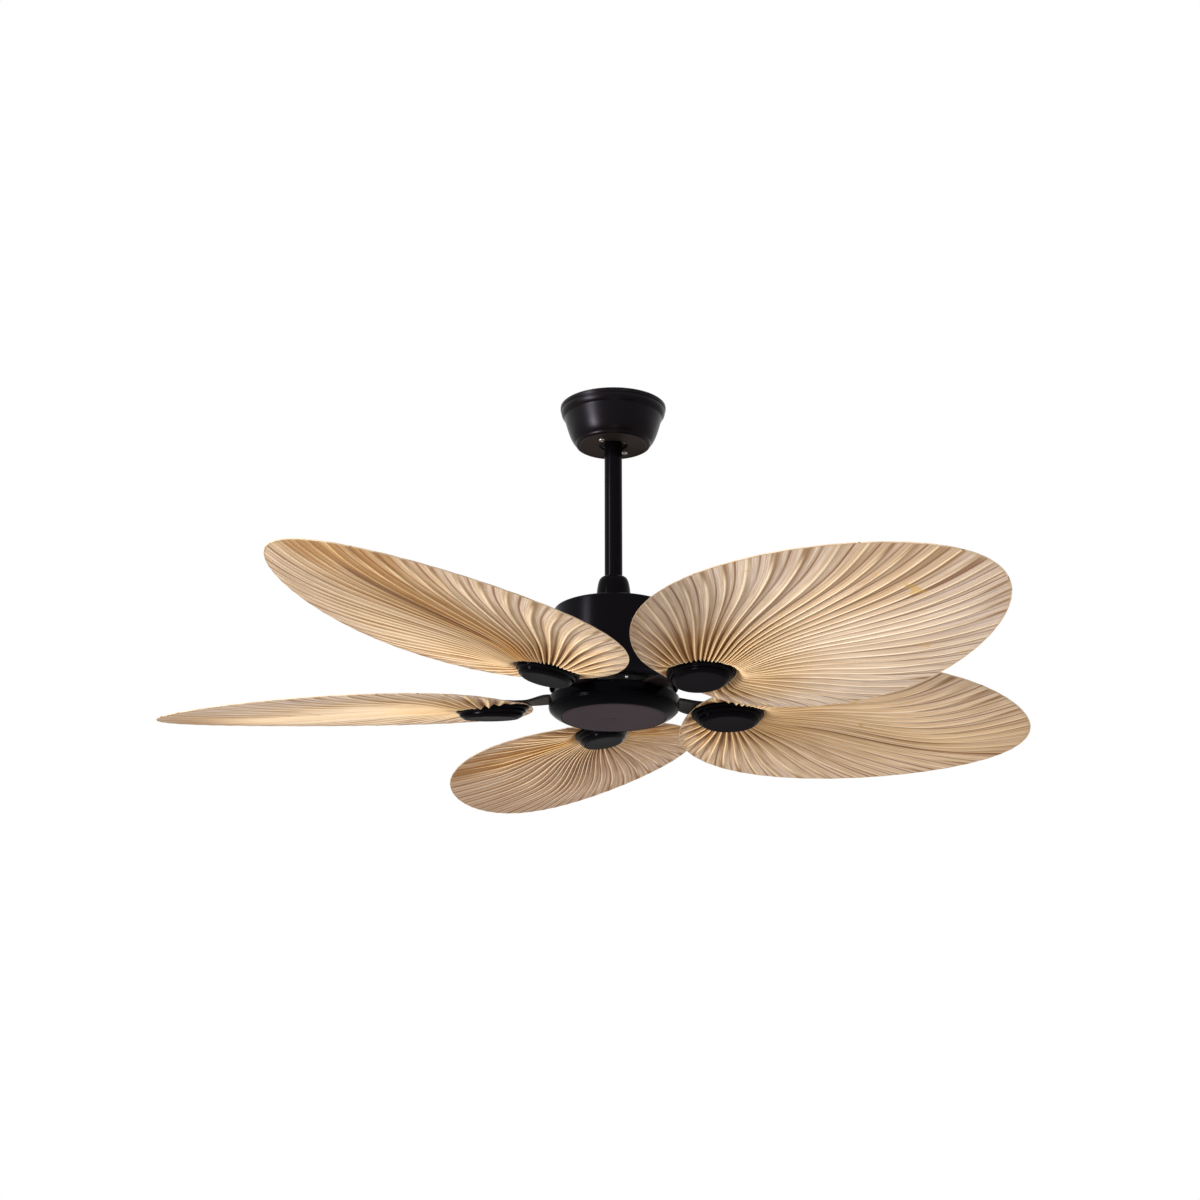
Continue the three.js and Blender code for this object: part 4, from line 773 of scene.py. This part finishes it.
def leafEdge(leaf, angle, shape):
    share = (1 + math.cos(angle)) / 2
    across = leaf["half"] * math.sin(angle) * (1 - shape["wasp"] * math.cos(angle))
    start = bladeSeat["leafStart"] - bladeSeat["ovalCentre"]
    return Vector((start + leaf["length"] * share, across + shape["sweep"] * share ** 2 + leaf["aside"]))


def leafHeight(leaf, x, y, shape):
    share = (x + bladeSeat["ovalCentre"] - bladeSeat["leafStart"]) / leaf["length"]
    return -shape["droop"] * share ** 2 - math.radians(shape["twist"]) * share * y


# How far a rib's line bows to its left, as a share of its length.
def ribBow(leaf, heading, row, shape):
    minus, plus = leaf["bows"]
    side = lerp(minus, plus, smoothstep(heading, -shape["sideTurn"], shape["sideTurn"]))
    front = 1 - smoothstep(abs(heading), *shape["frontEnd"])
    back = shape["backBow"] * math.sin(2 * heading) * smoothstep(abs(heading), *shape["backStart"])
    return (side * front - back) * math.sin(math.pi * row ** shape["bowPower"])


# Where a crest stands, counted in pleats, and how deep it folds.
def crestAt(number, place, shape):
    i = place % shape["count"]
    shift, change = [math.sin(pace * i + step * (number - 1))
                     for pace, step in (shape["unevenBeat"], shape["varietyBeat"])]
    return place + shape["uneven"] * shift, 1 + shape["variety"] * change


def mapLoops(mesh, name, spots):
    layer = mesh.uv_layers.new(name=name)
    for loop in mesh.loops:
        layer.data[loop.index].uv = spots[loop.vertex_index]


def makeLeaf(leaf, number, shape):
    fresh()
    count, perPleat = shape["count"], shape["columns"]
    columns, rows = count * perPleat, shape["heartRows"] + shape["rows"]
    bpy.ops.mesh.primitive_grid_add(x_subdivisions=columns, y_subdivisions=rows, size=1)
    piece = settle("pleated_leaf_%d" % number)
    mesh = piece.data
    crests = [crestAt(number, place, shape) for place in range(count + 2)]
    places = []
    turn = math.radians(leaf["turn"])
    for vertex in mesh.vertices:
        column = round((vertex.co.x + 0.5) * columns)
        line = round((vertex.co.y + 0.5) * rows)
        pleat, step = divmod(column, perPleat)
        phase = shape["phases"][step]
        start, end = crests[pleat], crests[pleat + 1]
        places.append((line, pleat, phase, lerp(start[0], end[0], phase) / count, lerp(start[1], end[1], phase)))
    spots, spread = [], []
    cuffAt, cuffDepth = math.radians(leaf["cuff"][0]), leaf["cuff"][1]
    paceAcross, paceAlong, paceLeaf = shape["wanderScale"]
    for vertex, (line, pleat, phase, spot, depth) in zip(mesh.vertices, places):
        inward, outward = min(line / shape["heartRows"], 1), max(line - shape["heartRows"], 0) / shape["rows"]
        spots.append(((pleat + phase) / count, lerp(shape["heartShare"] * inward, 1, outward)))
        row = outward ** shape["rowPower"]
        wander = noise.noise(Vector((pleat % count * paceAcross, row * paceAlong, number * paceLeaf)))
        wander *= shape["wander"] / count * math.sin(math.pi * row)
        angle = 2 * math.pi * (spot + wander)
        edge = leafEdge(leaf, angle, shape)
        heading = math.atan2(edge.y, edge.x)
        heart = ovalReach(heading + turn, coverShape) + shape["heartMargin"]
        begin = min(heart, edge.length * shape["heartLimit"])
        chord = edge.length - begin
        if line <= shape["heartRows"]:
            reach = begin * line / shape["heartRows"]
        else:
            reach = lerp(begin, edge.length - shape["rimInset"], row)
        bow = ribBow(leaf, heading, row, shape) * chord
        flat = Vector((math.cos(heading), math.sin(heading))) * reach
        flat += Vector((-math.sin(heading), math.cos(heading))) * bow
        beyond = max(reach - begin, 0.0)
        full = min(1.0, chord / shape["full"])
        crest = min(phase, 1 - phase)
        fold = (4 * crest - 1) * along(shape["fold"], row) * depth
        rib = -math.exp(-(crest / shape["ribWidth"]) ** 2) * along(shape["rib"], row)
        hang = 1 - smoothstep(beyond, shape["bellyStart"], shape["bellyEnd"])
        hang *= smoothstep(beyond, 0, shape["bellyStart"]) * leaf["belly"]
        cuff = smoothstep(beyond, 0, shape["cuffRise"]) * (1 - smoothstep(beyond, shape["cuffRise"], shape["cuffEnd"]))
        hang += cuff * cuffDepth * smoothstep(math.cos(heading - cuffAt), *shape["cuffSide"])
        height = leafHeight(leaf, flat.x, flat.y, shape) * smoothstep(beyond, 0, shape["settle"])
        height += (fold + rib) * smoothstep(beyond, 0, shape["spring"]) * full - hang * full
        spread.append((beyond / shape["spreadUnit"], heading / (2 * math.pi) + 0.5))
        flat.rotate(Matrix.Rotation(turn, 2))
        vertex.co = Vector((bladeSeat["ovalCentre"] + flat.x, flat.y, height)) * mm
    mapLoops(mesh, "leafMap", spots)  # which pleat, and how far along it
    mapLoops(mesh, "leafSpread", spread)  # how far past the cover, and in which direction
    mesh.transform(leafFrame(leaf))
    cleaned(piece, 45)
    return piece


def makeRim(leafPiece, number, shape):
    fresh()
    picked(leafPiece)
    bpy.ops.object.duplicate()
    editMode("DESELECT")
    bpy.ops.mesh.select_non_manifold(extend=False, use_wire=False, use_multi_face=False, use_non_contiguous=False,
                                     use_verts=False)
    bpy.ops.mesh.select_all(action="INVERT")
    bpy.ops.mesh.delete(type="VERT")
    bpy.ops.mesh.select_all(action="SELECT")
    bpy.ops.mesh.delete(type="ONLY_FACE")
    objectMode()
    bpy.ops.object.convert(target="CURVE")
    curve = bpy.context.object.data
    curve.bevel_depth = shape["rimRadius"] * mm
    curve.bevel_resolution = 1
    curve.use_fill_caps = False
    bpy.ops.object.convert(target="MESH")
    rim = settle("leaf_binding_%d" % number)
    cleaned(rim, 60)
    return rim


# Band: a golden band, the one or two directions it lies in, its half width and its strength.
# Line: a single dark rib, its direction, start and end. The last column: how dark the veins get, and how dark the
# painted shade in the valleys and on the shaded sides gets.
# Streaks and Ends: the lower, the more dark streaks and the more dark ends of ridges.
looksHead = ("Straw", "Warm", "Flat", "Seed", "Streaks", "Gold", "Band At", "Band Too", "Band Width", "Band",
             "Line At", "Line Start", "Line End", "Ends", "Depth")
leafLooks = [dict(zip(looksHead, row)) for row in (
    ((0.6, 0.465, 0.33, 1), (0.47, 0.27, 0.095, 1), (0.66, 0.54, 0.455, 1),
     1.3, 0.6, 0.15, 0.47, 0.47, 0.03, 0.25, 0.4955, 0.42, 0.8, 0.42, 1.05),
    ((0.81, 0.56, 0.32, 1), (0.68, 0.385, 0.135, 1), (0.8, 0.605, 0.45, 1),
     4.7, 0.55, 0.25, 0.5, 0.5, 0.04, 0.2, 0.5125, 0.05, 0.8, 0.42, 1.15),
    ((0.68, 0.425, 0.235, 1), (0.54, 0.29, 0.1, 1), (0.78, 0.55, 0.4, 1),
     8.1, 0.55, 0.3, 0.64, 0.28, 0.045, 1.0, 0.503, 0.03, 0.5, 0.32, 1.9),
    ((0.81, 0.575, 0.34, 1), (0.65, 0.4, 0.17, 1), (0.9, 0.71, 0.6, 1),
     12.9, 0.62, 0.3, 0.5, 0.5, 0.03, 0.3, 0.49, 0.1, 0.5, 0.45, 1.0),
    ((0.74, 0.53, 0.305, 1), (0.52, 0.3, 0.12, 1), (0.75, 0.58, 0.45, 1),
     17.2, 0.56, 0.3, 0.512, 0.512, 0.028, 0.85, 0.505, 0.08, 0.7, 0.38, 1.0),
)]

# The valley, groove and shade tones are painted shade in the folds of the pleats, and the two ridge tones are painted
# highlights on their crests.
palmTones = {
    "gold": (0.46, 0.27, 0.105, 1), "band": (0.4, 0.215, 0.072, 1), "bandTint": (1.0, 0.82, 0.5, 1),
    "fibre": (0.34, 0.21, 0.11, 1), "paleFibre": (0.86, 0.7, 0.53, 1), "fineFibre": (0.3, 0.18, 0.09, 1),
    "vein": (0.28, 0.15, 0.065, 1), "valley": (0.165, 0.06, 0.01, 1), "grooveShade": (0.21, 0.083, 0.018, 1),
    "shade": (0.26, 0.11, 0.022, 1), "ridge": (0.87, 0.72, 0.54, 1), "heartRidgeHighlight": (0.93, 0.69, 0.41, 1),
    "streak": (0.25, 0.115, 0.035, 1), "line": (0.21, 0.085, 0.022, 1), "blot": (0.52, 0.31, 0.075, 1),
    "end": (0.19, 0.085, 0.03, 1), "edge": (0.44, 0.3, 0.17, 1),
}


def makePalmGroup(shape, looks, tones):
    inputs = [(name, "Color" if isinstance(value, tuple) else "Float", value) for name, value in looks.items()]
    outputs = [("Color", "Color"), ("Roughness", "Float"), ("Height", "Float")]
    group, given, out = newGroup("palmFibre", inputs, outputs)
    where = located(group)

    def mapped(name):
        spot = put(group, "SeparateXYZ", {0: put(group, "UVMap", uv_map=name).outputs[0]}).outputs
        return spot["X"], spot["Y"]

    def strand(scaleAcross, scaleAlong, detail=2.0, rough=0.5):
        x = calc(group, "MULTIPLY", pleat, scaleAcross)
        y = calc(group, "MULTIPLY", row, scaleAlong)
        vector = put(group, "CombineXYZ", {0: x, 1: y, 2: given["Seed"]}).outputs[0]
        return speckle(group, vector, 1.0, detail, rough)

    def less(value, other):
        return calc(group, "SUBTRACT", value, other)

    def away(value, centre):
        return calc(group, "ABSOLUTE", less(value, centre))

    def step(value, low, high, start=0.0, end=1.0):
        return between(group, value, low, high, start, end)

    def times(*values):
        made = values[0]
        for value in values[1:]:
            made = calc(group, "MULTIPLY", made, value)
        return made

    def over(tone, share, name, how="MIX"):
        return blended(group, share, tone, tones[name], how)

    beyond, heading = mapped("leafSpread")
    pleat, row = mapped("leafMap")
    pleat = calc(group, "MULTIPLY", pleat, shape["count"])
    crest = calc(group, "PINGPONG", pleat, 0.5)  # 0 on a ridge, 0.5 in a valley
    signed = less(calc(group, "FRACT", calc(group, "ADD", pleat, 0.5)), 0.5)
    fibres = strand(17.0, 5.0, 3.0, 0.6)
    fine = strand(60.0, 14.0, 2.0, 0.6)
    broad = strand(0.55, 1.3, 3.0, 0.5)
    uneven = strand(1.0, 2.2, 2.0, 0.5)
    streak = strand(2.3, 1.1, 2.0, 0.5)
    cloud = speckle(group, where, 7.0, 3.0, 0.5)

    # warm straw near the cover, paler and flatter towards the tip
    heart = step(beyond, 0.03, 0.26, 1.0, 0.0)  # within about 150 mm of the cover
    tone = blended(group, times(heart, step(row, 0.25, 0.97, 1.0, 0.0)), given["Straw"], given["Warm"])
    faded = times(step(crest, 0.1, 0.28), step(row, 0.35, 0.9), step(cloud, 0.35, 0.65, 0.5, 1.0))
    tone = blended(group, faded, tone, given["Flat"])

    # golden patches and the golden band, then the fibres
    tone = over(tone, times(step(broad, 0.5, 0.68), given["Gold"]), "gold")
    band = calc(group, "MINIMUM", away(heading, given["Band At"]), away(heading, given["Band Too"]))
    band = step(calc(group, "DIVIDE", band, given["Band Width"]), 0.3, 1.3, 1.0, 0.0)
    band = times(band, given["Band"], step(uneven, 0.3, 0.6, 0.35, 1.0))
    tone = over(tone, band, "band")
    tone = over(tone, step(fibres, 0.35, 0.7, 0.0, 0.46), "fibre")
    tone = over(tone, step(fibres, 0.32, 0.52, 0.34, 0.0), "paleFibre")
    tone = over(tone, step(fine, 0.4, 0.72, 0.0, 0.25), "fineFibre")

    # thin veins between the ribs, then for each pleat painted shade in its valley and groove, painted shade on one
    # side and a painted highlight along its ridge
    vein = calc(group, "MINIMUM", times(step(uneven, 0.42, 0.62, 0.08, 0.5), given["Depth"]), 0.9)
    vein = times(step(away(crest, 0.27), 0.0, 0.03, 1.0, 0.0), vein)
    tone = over(tone, vein, "vein")
    # painted shade: the valleys darken, more so near the cover
    valley = step(calc(group, "ADD", crest, times(heart, 0.14)), 0.31, 0.46)
    deep = calc(group, "MAXIMUM", times(heart, step(row, 0.3, 0.97, 1.0, 0.5)), step(row, 0.2, 0.8, 0.55, 0.15))
    deep = times(deep, step(uneven, 0.28, 0.5, 0.45, 1.0), given["Depth"])
    tone = over(tone, times(valley, calc(group, "MINIMUM", deep, 1.0)), "valley")
    # painted shade along the bottom of each groove
    tone = over(tone, times(step(crest, 0.43, 0.475), step(streak, 0.36, 0.56, 0.15, 0.85)), "grooveShade")
    side = times(step(signed, 0.03, 0.1), step(signed, 0.13, 0.3, 1.0, 0.0))
    shade = calc(group, "MAXIMUM", step(broad, 0.35, 0.6, 0.3, 0.8), times(heart, 0.75))
    shade = times(shade, step(uneven, 0.3, 0.6, 0.55, 1.0), given["Depth"])
    tone = over(tone, times(side, calc(group, "MINIMUM", shade, 1.0)), "shade")
    # painted highlight along each ridge, golden near the cover
    ridge = times(step(crest, 0.02, 0.075, 1.0, 0.0), step(row, 0.1, 0.4, 0.6, 0.75))
    tone = blended(group, ridge, tone, blended(group, heart, tones["ridge"], tones["heartRidgeHighlight"]))
    tone = over(tone, band, "bandTint", "MULTIPLY")

    # dark streaks, one dark rib, a few blots, and dark ridge ends at the tip
    tone = over(tone, times(step(streak, given["Streaks"], 0.82), 0.75), "streak")
    line = times(step(away(heading, given["Line At"]), 0.0006, 0.0022, 1.0, 0.0),
                 step(less(beyond, given["Line Start"]), 0.0, 0.08), step(less(given["Line End"], beyond), 0.0, 0.12))
    tone = over(tone, times(line, 0.8), "line")
    tone = over(tone, times(step(speckle(group, where, 24.0, 2.0), 0.7, 0.76), 0.6), "blot")
    mottled = less(strand(1.0, 0.5, 1.0), given["Ends"])
    ends = times(step(crest, 0.03, 0.15, 1.0, 0.0), step(row, 0.84, 0.98), step(mottled, 0.0, 0.16), 0.85)
    tone = over(tone, ends, "end")
    tone = over(tone, step(row, 0.985, 1.0, 0.0, 0.4), "edge")

    relief = less(calc(group, "ADD", times(fibres, 0.7), times(fine, 0.4)), times(vein, 1.2))
    return answered(group, out, Color=tone, Roughness=step(fibres, 0.3, 0.7, 0.52, 0.72), Height=relief)


palmFibre = makePalmGroup(pleatShape, leafLooks[0], palmTones)
leafSurface = {"gloss": 0.3, "relief": 0.35, "strength": 0.7}


def makePalmMaterial(looks, number):
    material, tree, shader = newMaterial("driedPalm%d" % number, {"Specular IOR Level": leafSurface["gloss"]})
    palm = place(tree, palmFibre, looks).outputs
    surfaced(tree, shader, palm["Color"], palm["Roughness"], palm["Height"], leafSurface["relief"],
             leafSurface["strength"])
    return material


bindingLooks = {
    "cloud": (30.0, 3.0), "patch": (0.35, 0.65), "tones": ((0.5, 0.36, 0.22, 1), (0.64, 0.49, 0.33, 1)),
    "knots": (110.0, 2.0), "knotSpan": (0.62, 0.72), "knotTone": (0.2, 0.1, 0.045, 1), "rough": (0.6, 0.75),
    "grain": (900.0, 2.0), "relief": 0.15,
}


def makeBinding(looks):
    material, tree, shader = newMaterial("boundLeafEdge", {"Specular IOR Level": leafSurface["gloss"]})
    where = located(tree)
    patch = between(tree, speckle(tree, where, *looks["cloud"]), *looks["patch"])
    knots = between(tree, speckle(tree, where, *looks["knots"]), *looks["knotSpan"])
    tone = blended(tree, knots, blended(tree, patch, *looks["tones"]), looks["knotTone"])
    rough = between(tree, knots, 0.0, 1.0, *looks["rough"])
    surfaced(tree, shader, tone, rough, speckle(tree, where, *looks["grain"]), looks["relief"])
    return material


boundEdge = makeBinding(bindingLooks)
for number, (leaf, looks) in enumerate(zip(leaves, leafLooks), 1):
    blade = makeLeaf(leaf, number, pleatShape)
    rim = makeRim(blade, number, pleatShape)
    fresh()
    modify(blade, "SOLIDIFY", thickness=pleatShape["thick"] * mm, offset=0.0)
    bpy.ops.object.shade_smooth_by_angle(angle=math.radians(pleatShape["smooth"]))
    finished(blade, makePalmMaterial(looks, number), "rotor", "palm_leaf", "palm_leaf_%d" % number)
    finished(rim, boundEdge, "rotor", "palm_leaf")
    print("leaf", number, "made:", len(blade.data.polygons), "faces")


# ---- screws

screwShape = {"head": 4.2, "shank": 2.0, "foot": -3.0, "height": 2.2, "slot": (4.6, 0.95, 2.2)}


# A pan-head screw that stands on z = 0 with its head up and its shank down.
def makeScrewPattern(shape):
    head, high, foot = shape["head"], shape["height"], shape["foot"]
    points = [
        (0.0, high), (head * 0.45, high - 0.05), (head * 0.75, high - 0.35), (head * 0.93, high - 0.95),
        (head, high * 0.35, 0.3), (head, 0.0, 0.2), (shape["shank"], 0.0, 0.1), (shape["shank"], foot, 0.3),
        (0.0, foot),
    ]
    pattern = turned("screw_pattern", rounded(points, 2, endless=False), 28, endless=False)
    cleaned(pattern, 35)
    for turn in (0.0, 90.0):
        fresh()
        bpy.ops.mesh.primitive_cube_add(size=1, location=(0, 0, high * mm))
        cutter = bpy.context.object
        cutter.dimensions = Vector(shape["slot"]) * mm
        cutter.rotation_euler = (0, 0, math.radians(turn))
        bpy.ops.object.transform_apply()
        modify(pattern, "BOOLEAN", object=cutter, operation="DIFFERENCE", solver="EXACT")
        bpy.data.objects.remove(cutter)
    fresh()
    cleaned(pattern, 35, 1e-7)
    return pattern


def screwAt(pattern, name, spot, pointing, size, spin, *nodes, coat=zincSteel, body="rotor", slot="zinc_steel"):
    aim = Vector(pointing).normalized().to_track_quat("Z", "Y").to_matrix().to_4x4()
    fit = Matrix.Translation(Vector(spot) * mm) @ aim @ Matrix.Rotation(math.radians(spin), 4, "Z")
    piece = copied(pattern, name, fit @ Matrix.Scale(size, 4))
    finished(piece, coat, body, slot, *nodes)


fixings = {
    "canopy": {"radius": 28.5, "height": -57.45, "azimuths": (237.0, 57.0), "size": 0.95},
    "arm": {"place": (68.0, 0, 7.6), "size": 1.15},
    "leaf": {"sides": {"a": -26.0, "b": 26.0}, "height": 4.4},
    "balance": {"radius": 79.0, "height": -408.4, "azimuth": -78.0, "size": 0.5, "spin": 40},
}


def spoke(azimuth):
    return Vector((math.cos(math.radians(azimuth)), math.sin(math.radians(azimuth)), 0))


def makeScrews(spec):
    pattern = makeScrewPattern(screwShape)
    down, up = Vector((0, 0, -1)), Vector((0, 0, 1))
    canopy, arm, balance = spec["canopy"], spec["arm"], spec["balance"]
    for number, azimuth in enumerate(canopy["azimuths"], 1):
        spot = spoke(azimuth) * canopy["radius"] + up * canopy["height"]
        screwAt(pattern, "canopy_fixing_%d" % number, spot, down, canopy["size"], 20 * number,
                "canopy_screw_%d" % number, body="ceiling_mount")
    for number in range(1, 4):
        low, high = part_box("housing_screw_%d" % number)
        spot = ((low.x + high.x) / 2 / mm, (low.y + high.y) / 2 / mm, drumShape["topHeight"])
        screwAt(pattern, "drum_fixing_%d" % number, spot, up, 1.0, 33 * number, "housing_screw_%d" % number,
                coat=blackCoat, body="hanging_frame", slot="black_metal")
    for number, leaf in enumerate(leaves, 1):
        spot = azimuthFrame(leaf) @ (Vector(arm["place"]) * mm) / mm
        screwAt(pattern, "arm_fixing_%d" % number, spot, down, arm["size"], 17 * number, "iron_screw_%d" % number)
        seat = leafFrame(leaf)
        for letter, side in spec["leaf"]["sides"].items():
            spot = seat @ (Vector((bladeSeat["ovalCentre"] + side, 0, spec["leaf"]["height"])) * mm) / mm
            screwAt(pattern, "leaf_fixing_%d%s" % (number, letter), spot, seat.to_3x3() @ up, 1.0,
                    25 * number + side, "leaf_screw_%d%s" % (number, letter))
    side = spoke(balance["azimuth"])
    spot = side * balance["radius"] + up * balance["height"]
    screwAt(pattern, "balance_screw", spot, side, balance["size"], balance["spin"])
    bpy.data.objects.remove(pattern)


makeScrews(fixings)
print("screws made")


# ---- finishes of the carried-over nodes

nodeFinish = [
    (zincSteel, ["hanger_bracket", "ball_pin", "yoke_pin", "motor_shaft", "support_plate", "shaft_nut",
                 "bearing_upper", "bearing_lower"]),
    (blackPlastic, ["hanger_ball", "run_capacitor"]),
    (castMetal, ["motor_yoke", "rotor_shell_upper", "rotor_shell_lower"]),
    (laminatedSteel, ["stator_core", "rotor_ring"]),
    (copperWire, ["winding_upper", "winding_lower"]),
    (flywheelShadeCast, ["flywheel"]),
]

for material, names in nodeFinish:
    for name in names:
        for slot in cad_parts[name].material_slots:
            slot.material = material
print("carried-over nodes finished")
